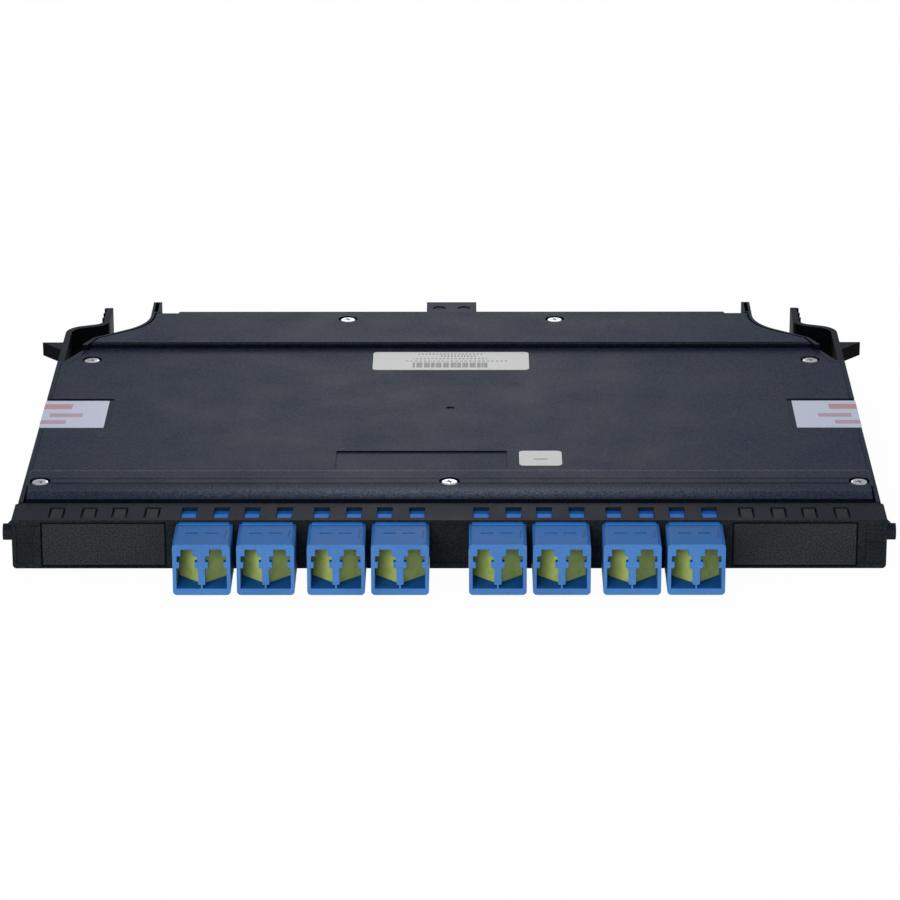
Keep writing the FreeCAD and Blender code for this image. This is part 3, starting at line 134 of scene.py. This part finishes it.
def set_world():
    """White to look at, and a fainter, cooler light to stand in."""
    world = bpy.data.worlds.new("studio")
    bpy.context.scene.world = world
    world.use_nodes = True
    tree = world.node_tree
    tree.nodes.clear()
    seen = tree.nodes.new("ShaderNodeBackground")
    seen.inputs["Color"].default_value = (1.0, 1.0, 1.0, 1.0)
    seen.inputs["Strength"].default_value = WHITE_STRENGTH
    lit = tree.nodes.new("ShaderNodeBackground")
    lit.inputs["Color"].default_value = (*AMBIENT_TONE, 1.0)
    lit.inputs["Strength"].default_value = AMBIENT_STRENGTH
    output = tree.nodes.new("ShaderNodeOutputWorld")
    tree.links.new(white_seen_directly(tree, seen, lit).outputs[0], output.inputs["Surface"])


def lay_floor():
    """White floor that takes a faint shadow."""
    bpy.ops.object.select_all(action="DESELECT")
    bpy.ops.mesh.primitive_plane_add(size=FLOOR_SIZE, location=(0.0, 0.0, -FLOOR_DROP))
    floor = bpy.context.object
    floor.name = "studio_floor"
    bpy.ops.object.transform_apply(location=True, rotation=True, scale=True)
    material = bpy.data.materials.new("pale_floor")
    material.use_nodes = True
    tree = material.node_tree
    tree.nodes.clear()
    paper = tree.nodes.new("ShaderNodeBsdfDiffuse")
    paper.inputs["Color"].default_value = (*FLOOR_TONE, 1.0)
    glow = tree.nodes.new("ShaderNodeEmission")
    glow.inputs["Strength"].default_value = WHITE_STRENGTH
    shaded = tree.nodes.new("ShaderNodeMixShader")
    shaded.inputs[0].default_value = FLOOR_GLOW
    tree.links.new(paper.outputs[0], shaded.inputs[1])
    tree.links.new(glow.outputs[0], shaded.inputs[2])
    output = tree.nodes.new("ShaderNodeOutputMaterial")
    tree.links.new(white_seen_directly(tree, shaded, paper).outputs[0], output.inputs["Surface"])
    floor.data.materials.append(material)


set_camera()
bpy.context.scene.view_settings.view_transform = "Standard"
set_world()
lay_floor()
for lamp_values in LAMPS:
    add_lamp(*lamp_values)


# ---------------------------------------------------------------------------
# Finishes

class Finish:
    """A procedural material and short ways to add its nodes."""

    def __init__(self, name):
        self.material = bpy.data.materials.new(name)
        self.material.use_nodes = True
        self.tree = self.material.node_tree
        self.tree.nodes.clear()
        self.shader = self.add("ShaderNodeBsdfPrincipled")
        output = self.add("ShaderNodeOutputMaterial")
        self.link(self.shader.outputs[0], output.inputs["Surface"])
        coordinates = self.add("ShaderNodeTexCoord")
        self.place = coordinates.outputs["Object"]
        self.facing = coordinates.outputs["Normal"]

    def add(self, kind, **settings):
        node = self.tree.nodes.new(kind)
        for key, value in settings.items():
            setattr(node, key, value)
        return node

    def link(self, source, target):
        self.tree.links.new(source, target)

    def constant(self, **values):
        for name, value in values.items():
            self.shader.inputs[name.replace("_", " ")].default_value = value

    def noise(self, grain_mm, detail=2.0, roughness=0.5, stretch=(1.0, 1.0, 1.0)):
        mapping = self.add("ShaderNodeMapping")
        mapping.inputs["Scale"].default_value = stretch
        noise = self.add("ShaderNodeTexNoise")
        noise.inputs["Scale"].default_value = 1.0 / (grain_mm * MM)
        noise.inputs["Detail"].default_value = detail
        noise.inputs["Roughness"].default_value = roughness
        self.link(self.place, mapping.inputs["Vector"])
        self.link(mapping.outputs[0], noise.inputs["Vector"])
        return noise.outputs["Fac"]

    def ramp(self, factor, *stops):
        ramp = self.add("ShaderNodeValToRGB")
        elements = ramp.color_ramp.elements
        while len(elements) < len(stops):
            elements.new(0.5)
        for element, (position, colour) in zip(elements, stops):
            element.position = position
            element.color = (*colour, 1.0)
        self.link(factor, ramp.inputs["Fac"])
        return ramp.outputs["Color"]

    def spread(self, factor, low, high, source=(0.3, 0.7)):
        spread = self.add("ShaderNodeMapRange")
        spread.inputs["From Min"].default_value = source[0]
        spread.inputs["From Max"].default_value = source[1]
        spread.inputs["To Min"].default_value = low
        spread.inputs["To Max"].default_value = high
        self.link(factor, spread.inputs["Value"])
        return spread.outputs["Result"]

    def mix(self, factor, first, second):
        mix = self.add("ShaderNodeMix", data_type="RGBA")
        sockets = (mix.inputs["Factor"], mix.inputs["A"], mix.inputs["B"])
        for value, socket in zip((factor, first, second), sockets):
            if isinstance(value, bpy.types.NodeSocket):
                self.link(value, socket)
            elif isinstance(value, tuple):
                socket.default_value = (*value, 1.0)
            else:
                socket.default_value = value
        return mix.outputs["Result"]

    def shade(self, colour, level):
        """The colour made lighter or darker by a plain number socket."""
        tint = self.add("ShaderNodeMix", data_type="RGBA", blend_type="MULTIPLY")
        tint.inputs["Factor"].default_value = 1.0
        self.link(colour, tint.inputs["A"])
        self.link(level, tint.inputs["B"])
        return tint.outputs["Result"]

    def axes(self, source):
        """The X, Y and Z sockets of a place or a direction."""
        parts = self.add("ShaderNodeSeparateXYZ")
        self.link(source, parts.inputs[0])
        return parts.outputs

    def facing_up(self):
        """0 on upright faces and 1 on level ones that look up."""
        return self.spread(self.axes(self.facing)["Z"], 0.0, 1.0, source=(0.3, 0.9))

    def compute(self, operation, first, second=None):
        node = self.add("ShaderNodeMath", operation=operation)
        for value, socket in ((first, node.inputs[0]), (second, node.inputs[1])):
            if isinstance(value, bpy.types.NodeSocket):
                self.link(value, socket)
            elif value is not None:
                socket.default_value = value
        return node.outputs[0]

    def relief(self, *layers, edge_mm=0.0):
        """Bump layers (factor, strength, depth in mm) over softened edges."""
        normal = None
        if edge_mm:
            edge = self.add("ShaderNodeBevel", samples=6)
            edge.inputs["Radius"].default_value = edge_mm * MM
            normal = edge.outputs[0]
        for factor, strength, depth in layers:
            bump = self.add("ShaderNodeBump")
            bump.inputs["Strength"].default_value = strength
            bump.inputs["Distance"].default_value = depth * MM
            self.link(factor, bump.inputs["Height"])
            if normal is not None:
                self.link(normal, bump.inputs["Normal"])
            normal = bump.outputs[0]
        self.link(normal, self.shader.inputs["Normal"])


# Slow change over plastic: its size, how far it shades, and how far it moves the roughness
CLOUD_MM = 14.0
CLOUD_SHADE = (0.9, 1.1)
CLOUD_GLOSS = (-0.04, 0.05)
# Painted shade on the floor of a screw's cross: how near in height, and how level a face has to be
FLOOR_MARGIN_MM = 0.06
LEVEL_FACE = 0.98
# Ink: how much it covers, and the sine of the wave above which a stripe is inked
INK_COVER = 0.85
STRIPE_EDGE = -0.25


def band(finish, value, low, high):
    """1 where the value in metres lies between two places given in mm."""
    above = finish.compute("GREATER_THAN", value, low * MM)
    below = finish.compute("LESS_THAN", value, high * MM)
    return finish.compute("MULTIPLY", above, below)


def painted_light_by_facing(side, top):
    """Painted light and shade: one colour on upright faces and another on level ones, as light falls on
    them.
    """
    return lambda finish: finish.mix(finish.facing_up(), side, top)


def moulded_plastic(name, tone, grain_mm, contrast, depth_mm, roughness, level, edge_mm=0.16):
    """Spark-eroded plastic: fine grain, a slow change of gloss and soft edges."""
    finish = Finish(name)
    grain = finish.noise(grain_mm, detail=2.0, roughness=0.6)
    cloud = finish.noise(CLOUD_MM, detail=3.0)
    speckle = finish.spread(grain, 1.0 - contrast, 1.0 + contrast, source=(0.4, 0.6))
    colour = finish.shade(tone(finish), speckle)
    colour = finish.shade(colour, finish.spread(cloud, *CLOUD_SHADE))
    finish.link(colour, finish.shader.inputs["Base Color"])
    sheen = finish.spread(cloud, roughness + CLOUD_GLOSS[0], roughness + CLOUD_GLOSS[1])
    finish.link(sheen, finish.shader.inputs["Roughness"])
    finish.constant(Specular_IOR_Level=level)
    finish.relief((grain, 0.5, depth_mm), edge_mm=edge_mm)
    return finish.material


# Tones; a pair is for upright and for level faces, with painted light and shade by facing, or for the
# low and high of a pattern
COVER_SIDE = (0.003, 0.004, 0.006)
COVER_TOP = (0.013, 0.019, 0.036)
# painted shade for the steps of the cover's front land, and painted highlights on its back edge and
# slope
COVER_STEP_SHADE = (0.0, 0.003, 0.011)
COVER_LIT_EDGE = (0.036, 0.044, 0.07)
COVER_HIGHLIGHT_MIDDLE = (0.06, 0.07, 0.104)
COVER_HIGHLIGHT_ENDS = (0.019, 0.025, 0.04)
HOUSING_BEZEL = ((0.0135, 0.0165, 0.0188), (0.007, 0.01, 0.017))
ADAPTER_HEAD = ((0.061, 0.18, 0.445), (0.008, 0.1, 0.33))
ADAPTER_TABS = ((0.006, 0.11, 0.46), (0.004, 0.1, 0.4))
# painted shade: a darker blue for the raised marks on the adapter roofs
ADAPTER_MARK_SHADE = ((0.006, 0.06, 0.24), (0.006, 0.06, 0.24))
BLANK_TONES = ((0.024, 0.0255, 0.028), (0.012, 0.014, 0.018))
LATCH_TONES = ((0.002, 0.0025, 0.003), (0.007, 0.009, 0.015))
PLUG_TONES = ((0.64, 0.64, 0.62), (0.68, 0.68, 0.66))
FIBRE_TONES = ((0.08, 0.44, 0.48), (0.08, 0.48, 0.52))
SHUTTER_TONES = ((0.4, 0.5, 0.12), (0.5, 0.6, 0.18))
ZINC_TONES = ((0.2, 0.21, 0.225), (0.36, 0.37, 0.385))
# painted shade for the floor of each screw's cross
ZINC_RECESS_SHADE = (0.02, 0.02, 0.022)
SEAL_TONES = ((0.35, 0.385, 0.51), (0.39, 0.425, 0.555))
LABEL_TONES = ((0.39, 0.395, 0.385), (0.43, 0.435, 0.425))

# Painted lines across the cover's front land, shade at two steps and a highlight on its back edge:
# front and back edge in mm, and a tone
COVER_LINES = [
    (-56.4, -55.2, COVER_STEP_SHADE),
    (-53.6, -52.5, COVER_STEP_SHADE),
    (-48.3, -47.5, COVER_LIT_EDGE),
]
# The painted highlight on its slope: how it fades outwards from the middle, comes up and dies away
HIGHLIGHT_REACH = (20.0 * MM, 80.0 * MM)
HIGHLIGHT_RISE = (-62.8 * MM, -60.8 * MM)
HIGHLIGHT_FALL = (-60.6 * MM, -56.8 * MM)


def cover_tone(finish):
    """Lid with painted light and shade by facing; the front land has painted shade lines at two steps,
    a painted highlight on its back edge and a painted highlight on its slope.
    """
    axes = finish.axes(finish.place)
    across, along = axes["X"], axes["Y"]
    colour = painted_light_by_facing(COVER_SIDE, COVER_TOP)(finish)
    for front, back, line in COVER_LINES:
        colour = finish.mix(band(finish, along, front, back), colour, line)
    outward = finish.spread(finish.compute("ABSOLUTE", across), 0.0, 1.0, source=HIGHLIGHT_REACH)
    # painted highlight on the slope, brightest in the middle
    sheen = finish.mix(outward, COVER_HIGHLIGHT_MIDDLE, COVER_HIGHLIGHT_ENDS)
    from_front = finish.spread(along, 0.0, 1.0, source=HIGHLIGHT_RISE)
    to_back = finish.spread(along, 1.0, 0.0, source=HIGHLIGHT_FALL)
    return finish.mix(finish.compute("MULTIPLY", from_front, to_back), colour, sheen)


def housing_tone(finish):
    """The bezel is a shade darker on top and greyer in front than the tray behind it; both have painted
    light and shade by facing.
    """
    behind = finish.compute("GREATER_THAN", finish.axes(finish.place)["Y"], BEZEL_BACK)
    return finish.mix(behind, painted_light_by_facing(*HOUSING_BEZEL)(finish), painted_light_by_facing(COVER_SIDE, COVER_TOP)(finish))


def adapter_tone(finish):
    """Deeper blue inside the bezel, where the tabs lie, than on the head in front; both have painted
    light and shade by facing.
    """
    behind = finish.compute("GREATER_THAN", finish.axes(finish.place)["Y"], ADAPTER_HEAD_BACK)
    return finish.mix(behind, painted_light_by_facing(*ADAPTER_HEAD)(finish), painted_light_by_facing(*ADAPTER_TABS)(finish))


def milky_green():
    """Slightly see-through plastic of the shutters."""
    finish = Finish("shutter_green")
    cloud = finish.noise(2.5, detail=2.0)
    colour = finish.ramp(cloud, (0.3, SHUTTER_TONES[0]), (0.7, SHUTTER_TONES[1]))
    finish.link(colour, finish.shader.inputs["Base Color"])
    finish.link(finish.spread(cloud, 0.25, 0.4), finish.shader.inputs["Roughness"])
    finish.constant(Specular_IOR_Level=0.5, Subsurface_Weight=0.2, Subsurface_Scale=0.001)
    finish.relief((cloud, 0.15, 0.02), edge_mm=0.06)
    return finish.material


def zinc_plate():
    """Brushed zinc, with painted shade on the floor in the cross of each screw at both heights of the
    cover.
    """
    finish = Finish("screw_zinc")
    brushed = finish.noise(0.12, detail=3.0, stretch=(1.0, 1.0, 4.0))
    colour = finish.ramp(brushed, (0.3, ZINC_TONES[0]), (0.7, ZINC_TONES[1]))
    height = finish.axes(finish.place)["Z"]
    floors = []
    for top in (LAND_TOP, FIELD_TOP):
        floor = (top - SCREW_WELL + SCREW_HEAD_HEIGHT - SCREW_RECESS) / MM
        floors.append(band(finish, height, floor - FLOOR_MARGIN_MM, floor + FLOOR_MARGIN_MM))
    level = finish.compute("GREATER_THAN", finish.facing_up(), LEVEL_FACE)
    # painted shade on the level floor of each screw's cross
    recess_shade = finish.compute("MULTIPLY", finish.compute("MAXIMUM", *floors), level)
    colour = finish.mix(recess_shade, colour, ZINC_RECESS_SHADE)
    finish.link(colour, finish.shader.inputs["Base Color"])
    finish.link(finish.spread(brushed, 0.2, 0.34), finish.shader.inputs["Roughness"])
    finish.constant(Metallic=1.0)
    finish.relief((brushed, 0.2, 0.01), edge_mm=0.05)
    return finish.material


def plain_paper(name, low, high, roughness):
    """Matt paper; its colour stays at hand for the ink."""
    finish = Finish(name)
    fibre = finish.noise(0.5, detail=4.0)
    finish.paper = finish.ramp(fibre, (0.3, low), (0.7, high))
    finish.link(finish.paper, finish.shader.inputs["Base Color"])
    sheen = finish.spread(fibre, roughness - 0.05, roughness + 0.05)
    finish.link(sheen, finish.shader.inputs["Roughness"])
    finish.relief((fibre, 0.1, 0.01))
    return finish


def printed_label(name, low, high, roughness, bars):
    """Paper with plain bars of ink, each given as in the lists below."""
    finish = plain_paper(name, low, high, roughness)
    axes = finish.axes(finish.place)
    across, along = axes["X"], axes["Y"]
    surface = finish.paper
    for left, right, front, back, ink, stripe in bars:
        sideways, lengthways = band(finish, across, left, right), band(finish, along, front, back)
        inside = finish.compute("MULTIPLY", sideways, lengthways)
        if stripe:
            turns = finish.compute("MULTIPLY", across, 2.0 * math.pi / (stripe * MM))
            lines = finish.compute("GREATER_THAN", finish.compute("SINE", turns), STRIPE_EDGE)
            inside = finish.compute("MULTIPLY", inside, lines)
        surface = finish.mix(finish.compute("MULTIPLY", inside, INK_COVER), surface, ink)
    finish.link(surface, finish.shader.inputs["Base Color"])
    return finish.material


INK_GREY = (0.05, 0.05, 0.055)
INK_RED = (0.3, 0.06, 0.08)
INK_PLUM = (0.26, 0.12, 0.19)
# Bars of ink: left, right, front and back edge in mm, ink, and the pitch of its stripes in mm, or 0
PART_LABEL_BARS = [
    (-8.0, 7.9, 38.0, 38.9, INK_GREY, 0.9),
    (-2.6, 6.0, 36.3, 37.4, INK_GREY, 0.8),
    (-9.2, 8.8, 34.5, 35.4, INK_GREY, 0.95),
    (-11.3, 13.9, 32.7, 33.5, INK_GREY, 1.1),
    (-9.5, 9.2, 28.2, 32.0, INK_GREY, 0.93),
    (-9.2, 9.0, 28.2, 32.0, INK_GREY, 1.61),
]
SQUARE_LABEL_BARS = [(19.2, 22.4, -37.0, -36.2, INK_GREY, 0.0)]


def seal_bars(side):
    """A bold bar and two thinner ones that run out over the side edge."""
    rows = [((89.7, 97.0), (-1.4, 2.2), INK_RED), ((86.8, 94.6), (-7.0, -4.4), INK_PLUM),
            ((90.4, 97.0), (-11.8, -9.2), INK_PLUM)]
    bars = []
    for reach, depth, ink in rows:
        left, right = sorted(side * edge for edge in reach)
        bars.append((left, right, *depth, ink, 0.0))
    return bars


cover_black = moulded_plastic(
    "cover_black", cover_tone,
    grain_mm=0.5, contrast=0.4, depth_mm=0.02, roughness=0.5, level=0.022)
housing_black = moulded_plastic(
    "housing_black", housing_tone,
    grain_mm=0.4, contrast=0.32, depth_mm=0.012, roughness=0.5, level=0.018)
blank_black = moulded_plastic(
    "blank_black", painted_light_by_facing(*BLANK_TONES),
    grain_mm=0.35, contrast=0.4, depth_mm=0.014, roughness=0.55, level=0.03)
latch_black = moulded_plastic(
    "latch_black", painted_light_by_facing(*LATCH_TONES),
    grain_mm=0.4, contrast=0.2, depth_mm=0.006, roughness=0.45, level=0.015)
adapter_blue = moulded_plastic(
    "adapter_blue", adapter_tone,
    grain_mm=0.3, contrast=0.06, depth_mm=0.006, roughness=0.46, level=0.03, edge_mm=0.2)
# painted shade: the raised marks get a darker blue than the adapter
mark_blue_shade = moulded_plastic(
    "mark_blue_shade", painted_light_by_facing(*ADAPTER_MARK_SHADE),
    grain_mm=0.3, contrast=0.06, depth_mm=0.004, roughness=0.46, level=0.03, edge_mm=0.05)
shutter_green = milky_green()
screw_zinc = zinc_plate()
seal_left = printed_label("seal_lilac_left", *SEAL_TONES, 0.4, seal_bars(-1))
seal_right = printed_label("seal_lilac_right", *SEAL_TONES, 0.4, seal_bars(1))
part_paper = printed_label("part_label_paper", *LABEL_TONES, 0.5, PART_LABEL_BARS)
square_paper = printed_label("square_label_paper", *LABEL_TONES, 0.5, SQUARE_LABEL_BARS)
plug_white = moulded_plastic(
    "plug_white", painted_light_by_facing(*PLUG_TONES),
    grain_mm=0.5, contrast=0.05, depth_mm=0.005, roughness=0.4, level=0.5)
fibre_aqua = moulded_plastic(
    "fibre_aqua", painted_light_by_facing(*FIBRE_TONES),
    grain_mm=0.6, contrast=0.08, depth_mm=0.004, roughness=0.4, level=0.5)

FINISH_OF = {
    "base_housing": housing_black, "top_cover": cover_black, "cover_screws": screw_zinc,
    "blank_left": blank_black, "blank_right": blank_black, "rear_adapter": cover_black,
    "side_latch_left": latch_black, "side_latch_right": latch_black,
    "seal_label_left": seal_left, "seal_label_right": seal_right,
    "part_label": part_paper, "square_label": square_paper,
    "inner_multi_plug": plug_white, "fanout_block": housing_black, "fibre_harness": fibre_aqua,
}
for number in ADAPTER_NUMBERS:
    FINISH_OF[f"lc_adapter_{number}"] = adapter_blue
    FINISH_OF[f"inner_plugs_{number}"] = plug_white
    for side in SIDES:
        FINISH_OF[f"shutter_{number}_{side}"] = shutter_green
for node_name, node in nodes.items():
    node.data.materials.clear()
    node.data.materials.append(FINISH_OF[node_name])

# ---------------------------------------------------------------------------
# Small pieces

def select_nothing():
    bpy.ops.object.select_all(action="DESELECT")


def pick(mesh_object, wanted):
    """In edit mode, select the faces whose centre and normal the test accepts."""
    bpy.ops.object.mode_set(mode="OBJECT")
    for item in (mesh_object.data.vertices, mesh_object.data.edges, mesh_object.data.polygons):
        item.foreach_set("select", [False] * len(item))
    for face in mesh_object.data.polygons:
        face.select = wanted(face.center, face.normal)
    bpy.ops.object.mode_set(mode="EDIT")
    bpy.ops.mesh.select_mode(type="FACE")


def settle(piece, name, finish, smooth_degrees=35.0):
    """Place, name, finish and body of a made piece."""
    piece.name = name
    piece.data.name = name
    select_nothing()
    bpy.context.view_layer.objects.active = piece
    piece.select_set(True)
    bpy.ops.object.transform_apply(location=True, rotation=True, scale=True)
    bpy.ops.object.shade_smooth_by_angle(angle=math.radians(smooth_degrees))
    piece.data.materials.clear()
    piece.data.materials.append(finish)
    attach(piece, CASSETTE)
    return piece


def copies_at(master, places):
    """One mesh copy at each place, all joined into the first."""
    pieces = []
    for place in places:
        copy = master.copy()
        copy.data = master.data.copy()
        bpy.context.scene.collection.objects.link(copy)
        copy.data.transform(Matrix.Translation(place))
        pieces.append(copy)
    bpy.data.objects.remove(master)
    select_nothing()
    for piece in pieces:
        piece.select_set(True)
    bpy.context.view_layer.objects.active = pieces[0]
    bpy.ops.object.join()
    return pieces[0]


# Cover screws: seats as x and y in mm, with the height of the cover round each
SCREW_SEATS = [
    (92.2, -54.7, LAND_TOP), (-92.2, -54.7, LAND_TOP), (0.0, -54.7, LAND_TOP),
    (87.9, 34.6, FIELD_TOP), (-87.9, 34.6, FIELD_TOP),
    (25.9, 61.7, LAND_TOP), (-25.9, 61.7, LAND_TOP),
]
SCREW_HEAD_RADIUS = 1.95 * MM
SCREW_DOME = 0.42 * MM
SCREW_SHANK_RADIUS = 1.2 * MM
SCREW_SHANK_LENGTH = 8.0 * MM
SCREW_RIDGES = 12
SCREW_ROOT_WIDTH = 0.78
SCREW_TIP_WIDTH = 0.5
CROSS_LENGTH = 2.6 * MM
CROSS_WIDTH = 0.62 * MM
CROSS_TAPER = 0.55
CROSS_TURN = 0.35


def one_screw():
    """Domed pan head with a cross recess, its seat at z = 0, and a ridged shank below."""
    height = SCREW_HEAD_HEIGHT
    step = {"value": (0.0, 0.0, -SCREW_SHANK_LENGTH / (SCREW_RIDGES + 1))}
    select_nothing()
    bpy.ops.mesh.primitive_cylinder_add(
        vertices=40, radius=SCREW_HEAD_RADIUS, depth=height, location=(0.0, 0.0, height / 2))
    screw = bpy.context.object
    bpy.ops.object.transform_apply(location=True, rotation=True, scale=True)
    pick(screw, lambda centre, normal: normal.z > 0.9)
    bpy.ops.mesh.bevel(offset=SCREW_DOME, segments=4, affect="EDGES")
    pick(screw, lambda centre, normal: normal.z < -0.9)
    bpy.ops.mesh.inset(thickness=SCREW_HEAD_RADIUS - SCREW_SHANK_RADIUS)
    for ridge in range(SCREW_RIDGES):
        bpy.ops.mesh.extrude_region_move(TRANSFORM_OT_translate=step)
        width = SCREW_ROOT_WIDTH if ridge % 2 == 0 else 1.0 / SCREW_ROOT_WIDTH
        bpy.ops.transform.resize(value=(width, width, 1.0))
    bpy.ops.mesh.extrude_region_move(TRANSFORM_OT_translate=step)
    bpy.ops.transform.resize(value=(SCREW_TIP_WIDTH, SCREW_TIP_WIDTH, 1.0))
    bpy.ops.object.mode_set(mode="OBJECT")
    for turn in (0.0, math.pi / 2):
        select_nothing()
        bpy.ops.mesh.primitive_cube_add(size=1.0, location=(0.0, 0.0, height))
        slot = bpy.context.object
        slot.scale = (CROSS_LENGTH, CROSS_WIDTH, 2.0 * SCREW_RECESS)
        slot.rotation_euler = (0.0, 0.0, turn + CROSS_TURN)
        bpy.ops.object.transform_apply(location=True, rotation=True, scale=True)
        pick(slot, lambda centre, normal: normal.z < -0.9)
        bpy.ops.transform.resize(value=(CROSS_TAPER, CROSS_TAPER, 1.0))
        bpy.ops.object.mode_set(mode="OBJECT")
        bpy.context.view_layer.objects.active = screw
        cut = screw.modifiers.new("cross", "BOOLEAN")
        cut.operation = "DIFFERENCE"
        cut.solver = "EXACT"
        cut.object = slot
        bpy.ops.object.modifier_apply(modifier=cut.name)
        bpy.data.objects.remove(slot)
    return screw


def add_cover_screws():
    """Round-headed screws in place of the plain ones of the frame."""
    seats = [Vector((x * MM, y * MM, top - SCREW_WELL)) for x, y, top in SCREW_SEATS]
    screws = settle(copies_at(one_screw(), seats), "cover_screw_set", screw_zinc)
    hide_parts("cover_screws")


# Raised marks on the roof of an adapter; offsets are from its middle and places from its front
MARK_RISE = 0.1 * MM
MARK_SINK = 0.01 * MM
WAVE_LENGTH = 2.9 * MM
WAVE_WIDTH = 0.4 * MM
WAVE_BOWS = ((0.42, 0.1 * MM), (0.3, 0.1 * MM), (0.17, 0.06 * MM))
WAVE_TAPER = (0.92, 0.5, 1.0)
WAVE_OFFSETS = (-2.35 * MM, 1.9 * MM)
WAVE_PLACE = 6.8 * MM
LINE_WIDTH = 0.22 * MM
LINE_LENGTH = 4.2 * MM
LINE_LEAN = -4.0
LINE_OFFSET = 5.0 * MM
LINE_PLACE = 6.6 * MM
COLLAR_WIDTH = 11.25 * MM
COLLAR_DEPTH = 1.3 * MM
COLLAR_RISE = 0.34 * MM
COLLAR_EDGE_MM = 0.3


def wave_ridge():
    """Short moulded ridge, bowed in plan and tapered at both ends."""
    select_nothing()
    bpy.ops.mesh.primitive_grid_add(x_subdivisions=8, y_subdivisions=1, size=1.0)
    ridge = bpy.context.object
    ridge.scale = (WAVE_LENGTH, WAVE_WIDTH, 1.0)
    bpy.ops.object.transform_apply(location=True, rotation=True, scale=True)
    for reach, bow in WAVE_BOWS:
        pick(ridge, lambda centre, normal: abs(centre.x) < reach * WAVE_LENGTH)
        bpy.ops.transform.translate(value=(0.0, bow, 0.0))
    bpy.ops.mesh.select_all(action="SELECT")
    bpy.ops.mesh.extrude_region_move(TRANSFORM_OT_translate={"value": (0.0, 0.0, MARK_RISE)})
    bpy.ops.transform.resize(value=WAVE_TAPER)
    bpy.ops.mesh.select_all(action="SELECT")
    bpy.ops.mesh.normals_make_consistent(inside=False)
    bpy.ops.object.mode_set(mode="OBJECT")
    return ridge


def bar_piece(width, depth, height, lean=0.0, edge_mm=0.0):
    """Upright bar with its foot at z = 0, turned by lean degrees in plan, its top edges softened."""
    select_nothing()
    bpy.ops.mesh.primitive_cube_add(size=1.0, location=(0.0, 0.0, height / 2))
    piece = bpy.context.object
    piece.scale = (width, depth, height)
    piece.rotation_euler = (0.0, 0.0, math.radians(lean))
    bpy.ops.object.transform_apply(location=True, rotation=True, scale=True)
    if edge_mm:
        pick(piece, lambda centre, normal: normal.z > 0.9)
        bpy.ops.mesh.bevel(offset=edge_mm * MM, segments=3, affect="EDGES")
        bpy.ops.object.mode_set(mode="OBJECT")
    return piece


def add_adapter_marks():
    """Two waves and a slanted line on the roof of each adapter in a darker blue of painted shade, and
    the raised collar behind them.
    """
    waves, lines, collars = [], [], []
    for number in ADAPTER_NUMBERS:
        low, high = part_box(f"lc_adapter_{number}")
        middle, foot = (low.x + high.x) / 2, HEAD_TOP - MARK_SINK
        for offset in WAVE_OFFSETS:
            waves.append(Vector((middle + offset, low.y + WAVE_PLACE, foot)))
        lines.append(Vector((middle + LINE_OFFSET, low.y + LINE_PLACE, foot)))
        collars.append(Vector((middle, BEZEL_FRONT - COLLAR_DEPTH / 2, foot)))
    settle(copies_at(wave_ridge(), waves), "adapter_waves", mark_blue_shade)
    line = bar_piece(LINE_WIDTH, LINE_LENGTH, MARK_RISE, lean=LINE_LEAN)
    settle(copies_at(line, lines), "adapter_side_lines", mark_blue_shade)
    collar = bar_piece(COLLAR_WIDTH, COLLAR_DEPTH, COLLAR_RISE, edge_mm=COLLAR_EDGE_MM)
    settle(copies_at(collar, collars), "adapter_collars", adapter_blue)


add_cover_screws()
add_adapter_marks()
